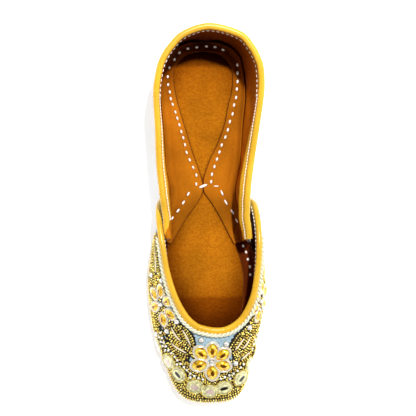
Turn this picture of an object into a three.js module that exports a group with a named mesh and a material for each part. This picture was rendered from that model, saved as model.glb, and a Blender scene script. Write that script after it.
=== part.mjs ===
// Mojari shoe: a flat slip-on with a rounded square toe, a bound low throat and a heel quarter.
// Millimetres, +Z up, toe towards -Y, inner side of a right foot towards +X, standing on its sole.
import * as THREE from "three";

// Main sizes of the shoe
const shoeLength = 243;
const ballWidth = 73.7;
const heelHeight = 57.5;
const wingHeight = 37;

// Leathers, seams and gaps
const quarterWall = 2.2;
const vampWall = 2;
const edgeWall = 1.3;
const skive = 8;
const wingGap = 0.8;
const seam = 0.3;
const floorGap = 0.6;
const foldGap = 0.38;
const bindingLeather = 0.85;
const outerLeg = 3;
const collarInnerLeg = 6;
const throatInnerLeg = 3.6;
const cordDiameter = 2.2;

// Sole and the layers inside the shoe
const soleThickness = 4.5;
const soleBevel = 0.8;
const soleEnd = 0.04;
const breastRun = 0.4;
const heelStep = 4;
const toeSpring = 5;
const insoleThickness = 2;
const liningFlap = 1.3;
const vampFlap = 0.8;

// Places along the shoe, as shares of its length from the toe, and along the throat's edge
const springStart = 0.17;
const archStart = 0.42;
const heelBreast = 0.752;
const wingEnd = 0.57;
const tuckRun = 0.08;
const rimTuckEnd = 0.49;
const wallStepStart = 0.394;
const wallStepEnd = 0.424;
const cordStart = 0.175;

// Turns rows of numbers into objects with the named columns.
function table(columns, rows) {
  return rows.map((row) => Object.fromEntries(columns.map((name, k) => [name, row[k]])));
}

// Outline where the upper meets the sole: along is a share of the length from the toe,
// lateral and medial are shares of the ball width.
const footprint = table(
  ["along", "lateral", "medial"],
  [
    [0.0107, 0.174, 0.232],
    [0.0407, 0.26, 0.305],
    [0.0885, 0.332, 0.357],
    [0.135, 0.393, 0.4],
    [0.2, 0.456, 0.446],
    [0.298, 0.501, 0.499],
    [0.348, 0.499, 0.494],
    [0.405, 0.474, 0.468],
    [0.5, 0.427, 0.38],
    [0.562, 0.387, 0.319],
    [0.652, 0.39, 0.322],
    [0.747, 0.41, 0.339],
    [0.862, 0.438, 0.368],
    [0.92, 0.414, 0.347],
    [0.953, 0.366, 0.305],
    [0.9815, 0.258, 0.204],
  ],
);
const toeTip = { along: 0, across: 0.024 };
const heelBack = { along: 1, across: -0.03 };

// Ribs of an upper piece, from the sole to its edge. round is the share of the way round the
// footprint from the heel by the inner side; across, along and height place the edge as shares
// of the ball width, the length and the named height; belly and rise set how the rib leaves the
// sole, reach and drop how it comes to the edge, all four as shares of the named height.
const ribColumns = ["round", "across", "along", "height", "belly", "rise", "reach", "drop"];

const vampRibs = table(ribColumns, [
  [0.2235, 0.358, 0.5625, 0.285, 0.02, 0.04, -0.02, 0.04],
  [0.2295, 0.424, 0.5445, 0.6, 0.03, 0.17, -0.07, 0.15],
  [0.2435, 0.442, 0.515, 0.81, 0.05, 0.24, -0.03, 0.21],
  [0.2622, 0.453, 0.4741, 0.935, 0.085, 0.3, 0.0, 0.27],
  [0.2865, 0.455, 0.4218, 1.0, 0.12, 0.31, 0.02, 0.27],
  [0.3155, 0.442, 0.356, 0.968, 0.15, 0.31, 0.05, 0.27],
  [0.346, 0.404, 0.2881, 0.908, 0.18, 0.31, 0.12, 0.22],
  [0.388, 0.329, 0.2387, 0.846, 0.215, 0.29, 0.22, 0.16],
  [0.434, 0.248, 0.2119, 0.805, 0.25, 0.25, 0.33, 0.13],
  [0.4738, 0.163, 0.1979, 0.79, 0.37, 0.2, 0.44, 0.1],
  [0.4985, 0.076, 0.1947, 0.784, 0.36, 0.19, 0.5, 0.095],
  [0.5255, -0.014, 0.1984, 0.79, 0.37, 0.2, 0.44, 0.1],
  [0.5665, -0.111, 0.2086, 0.805, 0.25, 0.25, 0.33, 0.13],
  [0.6175, -0.209, 0.2366, 0.843, 0.215, 0.29, 0.22, 0.16],
  [0.6615, -0.304, 0.2881, 0.908, 0.18, 0.31, 0.12, 0.22],
  [0.6865, -0.376, 0.356, 0.968, 0.15, 0.31, 0.05, 0.27],
  [0.7153, -0.414, 0.4218, 1.0, 0.12, 0.31, 0.02, 0.27],
  [0.739, -0.44, 0.4741, 0.935, 0.085, 0.3, 0.0, 0.27],
  [0.757, -0.45, 0.515, 0.81, 0.05, 0.24, -0.03, 0.21],
  [0.7685, -0.441, 0.541, 0.6, 0.03, 0.17, -0.07, 0.15],
  [0.7748, -0.407, 0.558, 0.285, 0.01, 0.04, -0.02, 0.04],
]);

// The quarter starts inside the outer wing, goes round the heel and ends inside the inner wing.
const quarterRibs = table(ribColumns, [
  [0.7208, -0.42, 0.444, 0.6, 0.03, 0.22, -0.02, 0.16],
  [0.739, -0.438, 0.4753, 0.64, 0.032, 0.24, -0.03, 0.16],
  [0.7575, -0.436, 0.5165, 0.68, 0.035, 0.25, -0.04, 0.16],
  [0.7772, -0.419, 0.5613, 0.73, 0.038, 0.26, -0.045, 0.16],
  [0.8113, -0.445, 0.6407, 0.755, 0.04, 0.27, -0.04, 0.18],
  [0.8515, -0.457, 0.7346, 0.83, 0.045, 0.28, -0.02, 0.22],
  [0.8922, -0.472, 0.8267, 0.905, 0.05, 0.3, 0.012, 0.3],
  [0.919, -0.446, 0.8864, 0.957, 0.055, 0.31, 0.016, 0.31],
  [0.9337, -0.408, 0.9177, 0.975, 0.06, 0.31, 0.02, 0.31],
  [0.9495, -0.342, 0.9478, 0.985, 0.065, 0.32, 0.026, 0.32],
  [0.9688, -0.23, 0.9795, 0.995, 0.07, 0.32, 0.035, 0.32],
  [0.9985, -0.012, 0.9996, 1.0, 0.075, 0.33, 0.04, 0.33],
  [1.0323, 0.246, 0.9802, 0.995, 0.07, 0.32, 0.035, 0.32],
  [1.051, 0.354, 0.9478, 0.985, 0.065, 0.32, 0.026, 0.32],
  [1.0663, 0.416, 0.9136, 0.975, 0.06, 0.31, 0.02, 0.31],
  [1.081, 0.441, 0.8848, 0.957, 0.055, 0.31, 0.016, 0.31],
  [1.1077, 0.447, 0.8267, 0.905, 0.05, 0.3, 0.012, 0.3],
  [1.147, 0.41, 0.7346, 0.83, 0.045, 0.28, -0.02, 0.22],
  [1.1888, 0.369, 0.6407, 0.755, 0.04, 0.27, -0.04, 0.18],
  [1.2228, 0.345, 0.5613, 0.73, 0.038, 0.26, -0.045, 0.16],
  [1.2432, 0.382, 0.5165, 0.68, 0.035, 0.25, -0.04, 0.16],
  [1.2622, 0.412, 0.4753, 0.64, 0.032, 0.24, -0.03, 0.16],
  [1.2807, 0.424, 0.444, 0.6, 0.03, 0.22, -0.02, 0.16],
]);

// Inner edge of the lining flap that is turned in over the insole: the teardrop round the heel,
// the crossing at the waist and the front, for each side. slant is how much further back along
// the shoe the other edge of the flap lies.
const flapColumns = ["along", "lateral", "medial", "slant"];
const liningFlapEdge = table(flapColumns, [
  [0.963, 0.02, -0.03, 0],
  [0.957, 0.145, 0.1, 0],
  [0.945, 0.215, 0.165, 0],
  [0.925, 0.273, 0.215, 0],
  [0.9086, 0.3, 0.235, 0],
  [0.8835, 0.303, 0.24, 0],
  [0.8481, 0.286, 0.229, 0],
  [0.8128, 0.26, 0.199, 0],
  [0.7667, 0.214, 0.171, 0],
  [0.7239, 0.172, 0.125, 0],
  [0.6852, 0.133, 0.07, 0],
  [0.6568, 0.099, 0.025, 0],
  [0.6, 0.037, -0.033, 0],
  [0.5733, 0.033, -0.023, 0],
  [0.5428, 0.08, 0.045, 0],
  [0.5021, 0.178, 0.127, 0],
  [0.468, 0.245, 0.184, 0],
  [0.427, 0.323, 0.254, 0.0075],
]);

// Inner edge of the vamp's own margin, which is turned in one layer lower.
const vampFlapEdge = table(flapColumns, [
  [0.4245, 0.345, 0.27, 0.0075],
  [0.386, 0.375, 0.313, 0],
  [0.3465, 0.388, 0.341, 0],
  [0.3235, 0.391, 0.347, 0],
  [0.26, 0.365, 0.335, 0],
  [0.19, 0.31, 0.29, 0],
  [0.12, 0.235, 0.235, 0],
]);

// How finely each piece is faceted
const outlineSamples = 1600;
const quarterFacets = { round: 52, up: 8, crowding: 0 };
const vampFacets = { round: 72, up: 9, crowding: 0.45 };
const slabFacets = 36;
const cordSides = 7;
const rollSteps = 4;
const ribSamples = 24;
const heelFlapSteps = [0, 0.15, 0.45];
const liningFlapFacets = 34;
const vampFlapFacets = 12;
const cordFacets = 50;

const leathers = {
  sole: { color: 0x9b6a3c, roughness: 0.7, metalness: 0 },
  tan: { color: 0xb4691f, roughness: 0.55, metalness: 0 },
  silk: { color: 0x9fb3bc, roughness: 0.6, metalness: 0 },
  gold: { color: 0xe0b030, roughness: 0.4, metalness: 0.15 },
  cream: { color: 0xd9d2b4, roughness: 0.7, metalness: 0 },
};

const up = new THREE.Vector3(0, 0, 1);

// Reach at which a rib's upper end points at its foot and no longer straight out.
const fanReach = 0.25;

// Share of a rib or of its table over which a direction is taken.
const surfaceStep = 0.004;

// Most of a short rib that a binding's leg may cover.
const legRoom = 0.38;

// A share that eases from 0 at one place to 1 at another.
function ease(value, from, to) {
  const t = THREE.MathUtils.clamp((value - from) / (to - from), 0, 1);
  return t * t * (3 - 2 * t);
}

function alongToY(along) {
  return (along - 0.5) * shoeLength;
}

function yToAlong(y) {
  return y / shoeLength + 0.5;
}

// Height of the sole's top face: toe spring in front, a low heel at the back.
function seat(along) {
  const spring = Math.max(0, (springStart - along) / springStart);
  return soleThickness + toeSpring * spring * spring + heelStep * ease(along, archStart, heelBreast);
}

// Height of the sole's underside, flat at the ball and at the heel.
function tread(along) {
  return along > heelBreast ? 0 : seat(along) - soleThickness;
}

// Closed curve of the footprint, from the heel by the inner side round the toe.
function footprintCurve() {
  const spot = (along, across) => new THREE.Vector3(across * ballWidth, alongToY(along), 0);
  const points = [
    spot(heelBack.along, heelBack.across),
    ...[...footprint].reverse().map((row) => spot(row.along, row.medial)),
    spot(toeTip.along, toeTip.across),
    ...footprint.map((row) => spot(row.along, -row.lateral)),
  ];
  const curve = new THREE.CatmullRomCurve3(points, true, "centripetal");
  curve.arcLengthDivisions = outlineSamples;
  return curve;
}

const outline = footprintCurve();

// A point of the footprint and the way out of the shoe there.
function footprintAt(round) {
  const share = ((round % 1) + 1) % 1;
  const tangent = outline.getTangentAt(share);
  return {
    point: outline.getPointAt(share),
    out: new THREE.Vector3(-tangent.y, tangent.x, 0).normalize(),
  };
}

// One value of the smooth curve through four neighbouring rows.
function through(a, b, c, d, t) {
  const pull = (c - a) * t + (2 * a - 5 * b + 4 * c - d) * t ** 2 + (3 * b - a - 3 * c + d) * t ** 3;
  return b + pull / 2;
}

// A row in between the rows of a table, at a share of the way through it.
function rowAt(rows, share) {
  const place = share * (rows.length - 1);
  const first = Math.min(Math.floor(place), rows.length - 2);
  const row = (k) => rows[THREE.MathUtils.clamp(first + k, 0, rows.length - 1)];
  const names = Object.keys(rows[0]);
  const value = (name) =>
    through(row(-1)[name], row(0)[name], row(1)[name], row(2)[name], place - first);
  return Object.fromEntries(names.map((name) => [name, value(name)]));
}

// How far the quarter's foot is tucked in behind the wing, 0 to 1.
function footTuck(along) {
  return 1 - ease(along, wingEnd, wingEnd + tuckRun);
}

const footTuckDepth = vampWall + wingGap;
const rimTuckDepth = edgeWall + 2 * bindingLeather + 3 * foldGap;

// An upper piece: the rib at a share of the way through its table, as a cubic curve.
class UpperPiece {
  constructor({ rows, height, wall, tucked }) {
    Object.assign(this, { rows, height, wall, tucked });
  }

  rib(share) {
    const row = rowAt(this.rows, share);
    const { point, out } = footprintAt(row.round);
    const along = yToAlong(point.y);
    const foot = point.clone();
    foot.z = seat(along) + seam;
    const edge = new THREE.Vector3(
      row.across * ballWidth,
      alongToY(row.along),
      row.height * this.height,
    );
    if (this.tucked) {
      foot.addScaledVector(out, -footTuckDepth * footTuck(along));
      const rimTuck = rimTuckDepth * (1 - ease(row.along, rimTuckEnd, wingEnd));
      edge.x -= Math.sign(edge.x) * rimTuck;
    }
    const lower = foot
      .clone()
      .addScaledVector(out, row.belly * this.height)
      .addScaledVector(up, row.rise * this.height);
    const toFoot = foot.clone().sub(edge).setZ(0).normalize();
    const outward = out.clone().lerp(toFoot, ease(row.reach, 0, fanReach)).normalize();
    const upper = edge
      .clone()
      .addScaledVector(outward, row.reach * this.height)
      .addScaledVector(up, -row.drop * this.height);
    return new THREE.CubicBezierCurve3(foot, lower, upper, edge);
  }

  // Outer face at a share through the table and a share of the way up the rib.
  surface(share, rise) {
    const rib = this.rib(share);
    const point = rib.getPoint(rise);
    const upward = rib.getTangent(THREE.MathUtils.clamp(rise, surfaceStep, 1 - surfaceStep)).normalize();
    const before = this.rib(Math.max(0, share - surfaceStep)).getPoint(rise);
    const after = this.rib(Math.min(1, share + surfaceStep)).getPoint(rise);
    const onward = after.sub(before).normalize();
    const out = new THREE.Vector3().crossVectors(upward, onward).normalize();
    return { point, out, upward, toEdge: this.lengthFrom(rib, rise) };
  }

  // Length left to the edge from a share of the way up a rib.
  lengthFrom(rib, rise) {
    let length = 0;
    let last = rib.getPoint(rise);
    for (let k = 1; k <= ribSamples; k++) {
      const next = rib.getPoint(rise + ((1 - rise) * k) / ribSamples);
      length += next.distanceTo(last);
      last = next;
    }
    return length;
  }

  // Share of the way up the rib that lies a given length below the edge.
  riseBelowEdge(share, length) {
    const rib = this.rib(share);
    let low = 0;
    let high = 1;
    for (let k = 0; k < ribSamples; k++) {
      const middle = (low + high) / 2;
      if (this.lengthFrom(rib, middle) > length) low = middle;
      else high = middle;
    }
    return high;
  }

  // The leather thins towards its edge, so that the binding folds over it.
  wallAt(toEdge) {
    return edgeWall + (this.wall - edgeWall) * ease(toEdge, 0, skive);
  }

  // Rings of the piece's section, outer face up and inner face down again.
  rings(facets) {
    return stationShares(facets).map((share) => {
      const outer = [];
      const inner = [];
      for (let j = 0; j <= facets.up; j++) {
        const { point, out, toEdge } = this.surface(share, j / facets.up);
        const lining = point.clone().addScaledVector(out, -this.wallAt(toEdge));
        if (j === 0) lining.z = point.z;
        outer.push(point);
        inner.unshift(lining);
      }
      return [...outer, ...inner];
    });
  }
}

const vampPiece = new UpperPiece({ rows: vampRibs, height: wingHeight, wall: vampWall, tucked: false });
const quarterPiece = new UpperPiece({
  rows: quarterRibs,
  height: heelHeight,
  wall: quarterWall,
  tucked: true,
});

// Shares through a rib table, crowded towards its ends by 0 to 1 where the ribs grow short.
function stationShares({ round, crowding }) {
  return Array.from({ length: round + 1 }, (_, k) => {
    const share = k / round;
    return share - (crowding * Math.sin(2 * Math.PI * share)) / (2 * Math.PI);
  });
}

// Faces that close one end of a wall, whose outer and inner points lie opposite each other.
function wallCap(ring) {
  const faces = [];
  for (let k = 0; k + 1 < ring.length / 2; k++) {
    const across = ring.length - 1 - k;
    faces.push([k, k + 1, across - 1], [k, across - 1, across]);
  }
  return faces;
}

// Faces that close one end of any other loft.
function flatCap(ring) {
  const centre = ring.reduce((sum, p) => sum.add(p), new THREE.Vector3()).divideScalar(ring.length);
  const normal = new THREE.Vector3();
  ring.forEach((p, k) => {
    const next = ring[(k + 1) % ring.length];
    normal.add(p.clone().sub(centre).cross(next.clone().sub(centre)));
  });
  normal.normalize();
  const side = ring[1].clone().sub(ring[0]).projectOnPlane(normal).normalize();
  const other = new THREE.Vector3().crossVectors(normal, side);
  const flat = ring.map((p) => {
    const from = p.clone().sub(centre);
    return new THREE.Vector2(from.dot(side), from.dot(other));
  });
  const faces = THREE.ShapeUtils.triangulateShape(flat, []);
  const area = ([a, b, c]) => flat[b].clone().sub(flat[a]).cross(flat[c].clone().sub(flat[a]));
  return faces.map((face) => (area(face) < 0 ? [face[0], face[2], face[1]] : face));
}

// A closed solid through rings of equally many points, its faces pointing out.
function loft(rings, cap = flatCap) {
  const count = rings[0].length;
  const faces = [];
  for (let i = 0; i + 1 < rings.length; i++) {
    for (let j = 0; j < count; j++) {
      const a = i * count + j;
      const b = i * count + ((j + 1) % count);
      faces.push([a, b, b + count], [a, b + count, a + count]);
    }
  }
  cap(rings[0]).forEach(([a, b, c]) => faces.push([a, c, b]));
  const end = (rings.length - 1) * count;
  cap(rings[rings.length - 1]).forEach(([a, b, c]) => faces.push([end + a, end + b, end + c]));
  const points = rings.flat();
  const volume = faces.reduce(
    (sum, [a, b, c]) => sum + points[a].dot(points[b].clone().cross(points[c])),
    0,
  );
  const outward = volume < 0 ? faces.map(([a, b, c]) => [a, c, b]) : faces;
  const geometry = new THREE.BufferGeometry().setFromPoints(points);
  geometry.setIndex(outward.flat());
  geometry.computeVertexNormals();
  return geometry;
}

// The footprint drawn in by a distance that depends on the place along it.
function drawnIn(inset) {
  const points = [];
  for (let k = 0; k < outlineSamples; k++) {
    const { point, out } = footprintAt(k / outlineSamples);
    points.push(point.addScaledVector(out, -inset(yToAlong(point.y))));
  }
  const ys = points.map((p) => p.y);
  const crossings = (y) =>
    points.flatMap((p, k) => {
      const next = points[(k + 1) % points.length];
      if ((p.y > y) === (next.y > y)) return [];
      return [p.x + ((next.x - p.x) * (y - p.y)) / (next.y - p.y)];
    });
  return {
    toe: Math.min(...ys),
    heel: Math.max(...ys),
    lateral: (y) => Math.min(...crossings(y)),
    medial: (y) => Math.max(...crossings(y)),
  };
}

// Places along a slab, closer together at its round ends, with any steps put in.
function stationsOf(toe, heel, steps = []) {
  const places = [];
  for (let k = 0; k <= slabFacets; k++) {
    const share = (1 - Math.cos((Math.PI * k) / slabFacets)) / 2;
    places.push(toe + soleEnd + share * (heel - toe - 2 * soleEnd));
  }
  return [...places, ...steps].sort((a, b) => a - b);
}

// Sole leather with a bevelled lower edge, flat under the ball and the heel.
function outsoleGeometry() {
  const edge = drawnIn(() => 0);
  const breast = alongToY(heelBreast);
  const spring = alongToY(springStart);
  const rings = stationsOf(edge.toe, edge.heel, [breast, breast + breastRun, spring]).map((y) => {
    const along = yToAlong(y);
    const left = edge.lateral(y);
    const right = edge.medial(y);
    const bevel = Math.min(soleBevel, (right - left) / 4);
    const low = tread(along);
    return [
      new THREE.Vector3(left, y, seat(along)),
      new THREE.Vector3(right, y, seat(along)),
      new THREE.Vector3(right, y, low + bevel),
      new THREE.Vector3(right - bevel, y, low),
      new THREE.Vector3(left + bevel, y, low),
      new THREE.Vector3(left, y, low + bevel),
    ];
  });
  return loft(rings);
}

// Distance from the footprint to the inside of the walls.
function insideOf(along) {
  const rear = quarterWall + footTuckDepth * footTuck(along);
  return floorGap + vampWall + (rear - vampWall) * ease(along, wallStepStart, wallStepEnd);
}

// Floor of the inside, in layers from the sole up.
const insoleBottom = (along) => seat(along) + seam;
const flapBottom = (along) => insoleBottom(along) + insoleThickness + seam;

function slabRing({ left, right, low, high }) {
  return [
    new THREE.Vector3(left.x, left.y, low(yToAlong(left.y))),
    new THREE.Vector3(right.x, right.y, low(yToAlong(right.y))),
    new THREE.Vector3(right.x, right.y, high(yToAlong(right.y))),
    new THREE.Vector3(left.x, left.y, high(yToAlong(left.y))),
  ];
}

function insoleGeometry() {
  const edge = drawnIn(insideOf);
  const high = (along) => insoleBottom(along) + insoleThickness;
  const rings = stationsOf(edge.toe, edge.heel).map((y) =>
    slabRing({
      left: { x: edge.lateral(y), y },
      right: { x: edge.medial(y), y },
      low: insoleBottom,
      high,
    }),
  );
  return loft(rings);
}

// A turned-in margin on one side of the insole: side is 1 inside and -1 outside. Both sides stop
// short of the line of the back seam, which is also where they meet at the waist.
function flapGeometry({ rows, side, thickness, facets, closedHeel }) {
  const edge = drawnIn((along) => insideOf(along) + seam);
  const wall = side > 0 ? edge.medial : edge.lateral;
  const backSeam = heelBack.across * ballWidth + (side * seam) / 2;
  const inner = (x) => (side > 0 ? Math.max(x, backSeam) : Math.min(x, backSeam));
  const low = flapBottom;
  const high = (along) => flapBottom(along) + thickness;
  const ring = (x, y, wallY) =>
    slabRing({ left: { x: inner(x), y }, right: { x: wall(wallY), y: wallY }, low, high });
  const rings = [];
  if (closedHeel) {
    const end = edge.heel - seam;
    const start = alongToY(rows[0].along);
    heelFlapSteps.forEach((share) => {
      const y = end + (start - end) * share;
      rings.push(ring(backSeam, y, y));
    });
  }
  for (let k = 0; k <= facets; k++) {
    const row = rowAt(rows, k / facets);
    const across = side > 0 ? row.medial : -row.lateral;
    rings.push(ring(across * ballWidth, alongToY(row.along), alongToY(row.along + row.slant)));
  }
  return loft(rings);
}

// Folded strip over the edge of an upper piece, with a round top.
function bindingGeometry({ piece, innerLeg, facets }) {
  const rings = stationShares(facets).map((share) => {
    const edge = piece.surface(share, 1);
    const room = piece.lengthFrom(piece.rib(share), 0) * legRoom;
    const outerEnd = piece.surface(share, piece.riseBelowEdge(share, Math.min(outerLeg, room)));
    const innerEnd = piece.surface(share, piece.riseBelowEdge(share, Math.min(innerLeg, room)));
    const at = (spot, lift) => spot.point.clone().addScaledVector(spot.out, lift);
    const outside = foldGap + bindingLeather;
    const lining = -piece.wallAt(0) - foldGap;
    const innerWall = -piece.wallAt(innerEnd.toEdge) - foldGap;
    const half = (outside - lining + bindingLeather) / 2;
    const ring = [at(outerEnd, outside)];
    for (let k = 0; k <= rollSteps; k++) {
      const turn = (Math.PI * k) / rollSteps;
      const lift = outside - half + half * Math.cos(turn);
      ring.push(at(edge, lift).addScaledVector(edge.upward, half * Math.sin(turn)));
    }
    ring.push(at(innerEnd, innerWall - bindingLeather), at(innerEnd, innerWall));
    for (let k = 0; k <= rollSteps; k++) {
      const lift = lining + ((foldGap - lining) * k) / rollSteps;
      ring.push(at(edge, lift).addScaledVector(edge.upward, seam));
    }
    ring.push(at(outerEnd, foldGap));
    return ring;
  });
  return loft(rings, wallCap);
}

// Cord laid on the vamp beside the throat binding.
function cordGeometry() {
  const radius = cordDiameter / 2;
  const below = outerLeg + seam + radius;
  const rings = [];
  for (let i = 0; i <= cordFacets; i++) {
    const share = cordStart + ((1 - 2 * cordStart) * i) / cordFacets;
    const spot = vampPiece.surface(share, vampPiece.riseBelowEdge(share, below));
    const centre = spot.point.clone().addScaledVector(spot.out, seam + radius);
    const ring = [];
    for (let k = 0; k < cordSides; k++) {
      const turn = (2 * Math.PI * k) / cordSides;
      ring.push(
        centre
          .clone()
          .addScaledVector(spot.out, radius * Math.cos(turn))
          .addScaledVector(spot.upward, radius * Math.sin(turn)),
      );
    }
    rings.push(ring);
  }
  return loft(rings);
}

function named(name, geometry, look) {
  const mesh = new THREE.Mesh(geometry, new THREE.MeshStandardMaterial(look));
  mesh.name = name;
  return mesh;
}

const shoe = new THREE.Group();
shoe.name = "mojari_shoe";
shoe.add(
  named("outsole", outsoleGeometry(), leathers.sole),
  named("insole", insoleGeometry(), leathers.tan),
  named("vamp", loft(vampPiece.rings(vampFacets), wallCap), leathers.silk),
  named("quarter", loft(quarterPiece.rings(quarterFacets), wallCap), leathers.silk),
  named(
    "collar_binding",
    bindingGeometry({ piece: quarterPiece, innerLeg: collarInnerLeg, facets: quarterFacets }),
    leathers.gold,
  ),
  named(
    "throat_binding",
    bindingGeometry({ piece: vampPiece, innerLeg: throatInnerLeg, facets: vampFacets }),
    leathers.gold,
  ),
  named("throat_cord", cordGeometry(), leathers.cream),
);
[
  { name: "medial", side: 1 },
  { name: "lateral", side: -1 },
].forEach(({ name, side }) => {
  const lining = flapGeometry({
    rows: liningFlapEdge,
    side,
    thickness: liningFlap,
    facets: liningFlapFacets,
    closedHeel: true,
  });
  const margin = flapGeometry({
    rows: vampFlapEdge,
    side,
    thickness: vampFlap,
    facets: vampFlapFacets,
    closedHeel: false,
  });
  shoe.add(named("lining_flap_" + name, lining, leathers.tan));
  shoe.add(named("vamp_flap_" + name, margin, leathers.tan));
});

// The shoe stands in the middle of its own outline.
const extent = new THREE.Box3().setFromObject(shoe);
const middle = extent.getCenter(new THREE.Vector3());
shoe.position.set(-middle.x, -middle.y, 0);

export default shoe;
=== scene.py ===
"""Looks of a beaded mojari shoe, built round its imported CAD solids."""

import logging
import math
from collections.abc import Callable, Sequence
from dataclasses import dataclass, field
from enum import Enum

import bpy
import numpy as np
from mathutils import Matrix, Vector
from mathutils.kdtree import KDTree


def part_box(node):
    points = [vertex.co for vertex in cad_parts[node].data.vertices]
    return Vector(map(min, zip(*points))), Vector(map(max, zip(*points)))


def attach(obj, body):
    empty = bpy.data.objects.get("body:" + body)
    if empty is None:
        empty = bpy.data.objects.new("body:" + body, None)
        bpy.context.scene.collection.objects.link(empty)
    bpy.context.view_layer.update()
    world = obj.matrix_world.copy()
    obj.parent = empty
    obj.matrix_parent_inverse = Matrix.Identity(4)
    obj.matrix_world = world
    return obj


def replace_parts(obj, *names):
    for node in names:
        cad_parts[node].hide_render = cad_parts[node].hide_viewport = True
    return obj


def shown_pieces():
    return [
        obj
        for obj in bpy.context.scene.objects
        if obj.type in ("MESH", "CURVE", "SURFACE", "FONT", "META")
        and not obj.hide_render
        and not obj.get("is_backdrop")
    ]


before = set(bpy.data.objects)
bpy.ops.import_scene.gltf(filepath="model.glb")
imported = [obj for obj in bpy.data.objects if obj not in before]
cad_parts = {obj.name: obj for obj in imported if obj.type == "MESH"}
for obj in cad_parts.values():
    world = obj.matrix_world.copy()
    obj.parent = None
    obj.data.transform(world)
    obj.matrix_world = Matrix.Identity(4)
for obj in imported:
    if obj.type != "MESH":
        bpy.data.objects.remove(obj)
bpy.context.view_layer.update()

log = logging.getLogger("mojari")

MM = 0.001
BODY = "root"
SEED = 11
WHITE = (1.0, 1.0, 1.0)

Array = np.ndarray
Spot = tuple[float, float]
Triple = tuple[float, float, float]
Stops = Sequence[tuple[float, Triple]]
Socket = bpy.types.NodeSocket
Piece = bpy.types.Object
Material = bpy.types.Material
Node = bpy.types.Node

UPWARD = np.array([0.0, 0.0, 1.0])

# How much closer together stations lie at both ends of the vamp than evenly.
CROWDING = 0.45

# Outline where the upper meets the sole: along, lateral and medial shares, as in the part's source.
FOOTPRINT = (
    (0.0107, 0.174, 0.232),
    (0.0407, 0.26, 0.305),
    (0.0885, 0.332, 0.357),
    (0.135, 0.393, 0.4),
    (0.2, 0.456, 0.446),
    (0.298, 0.501, 0.499),
    (0.348, 0.499, 0.494),
    (0.405, 0.474, 0.468),
    (0.5, 0.427, 0.38),
    (0.562, 0.387, 0.319),
    (0.652, 0.39, 0.322),
    (0.747, 0.41, 0.339),
    (0.862, 0.438, 0.368),
    (0.92, 0.414, 0.347),
    (0.953, 0.366, 0.305),
    (0.9815, 0.258, 0.204),
)
TOE_TIP = (0.0, 0.024)
HEEL_BACK = (1.0, -0.03)

# Ribs of the vamp: round, across, along, height, belly, rise, reach and drop.
VAMP_RIBS = (
    (0.2235, 0.358, 0.5625, 0.285, 0.02, 0.04, -0.02, 0.04),
    (0.2295, 0.424, 0.5445, 0.6, 0.03, 0.17, -0.07, 0.15),
    (0.2435, 0.442, 0.515, 0.81, 0.05, 0.24, -0.03, 0.21),
    (0.2622, 0.453, 0.4741, 0.935, 0.085, 0.3, 0.0, 0.27),
    (0.2865, 0.455, 0.4218, 1.0, 0.12, 0.31, 0.02, 0.27),
    (0.3155, 0.442, 0.356, 0.968, 0.15, 0.31, 0.05, 0.27),
    (0.346, 0.404, 0.2881, 0.908, 0.18, 0.31, 0.12, 0.22),
    (0.388, 0.329, 0.2387, 0.846, 0.215, 0.29, 0.22, 0.16),
    (0.434, 0.248, 0.2119, 0.805, 0.25, 0.25, 0.33, 0.13),
    (0.4738, 0.163, 0.1979, 0.79, 0.37, 0.2, 0.44, 0.1),
    (0.4985, 0.076, 0.1947, 0.784, 0.36, 0.19, 0.5, 0.095),
    (0.5255, -0.014, 0.1984, 0.79, 0.37, 0.2, 0.44, 0.1),
    (0.5665, -0.111, 0.2086, 0.805, 0.25, 0.25, 0.33, 0.13),
    (0.6175, -0.209, 0.2366, 0.843, 0.215, 0.29, 0.22, 0.16),
    (0.6615, -0.304, 0.2881, 0.908, 0.18, 0.31, 0.12, 0.22),
    (0.6865, -0.376, 0.356, 0.968, 0.15, 0.31, 0.05, 0.27),
    (0.7153, -0.414, 0.4218, 1.0, 0.12, 0.31, 0.02, 0.27),
    (0.739, -0.44, 0.4741, 0.935, 0.085, 0.3, 0.0, 0.27),
    (0.757, -0.45, 0.515, 0.81, 0.05, 0.24, -0.03, 0.21),
    (0.7685, -0.441, 0.541, 0.6, 0.03, 0.17, -0.07, 0.15),
    (0.7748, -0.407, 0.558, 0.285, 0.01, 0.04, -0.02, 0.04),
)

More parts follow.
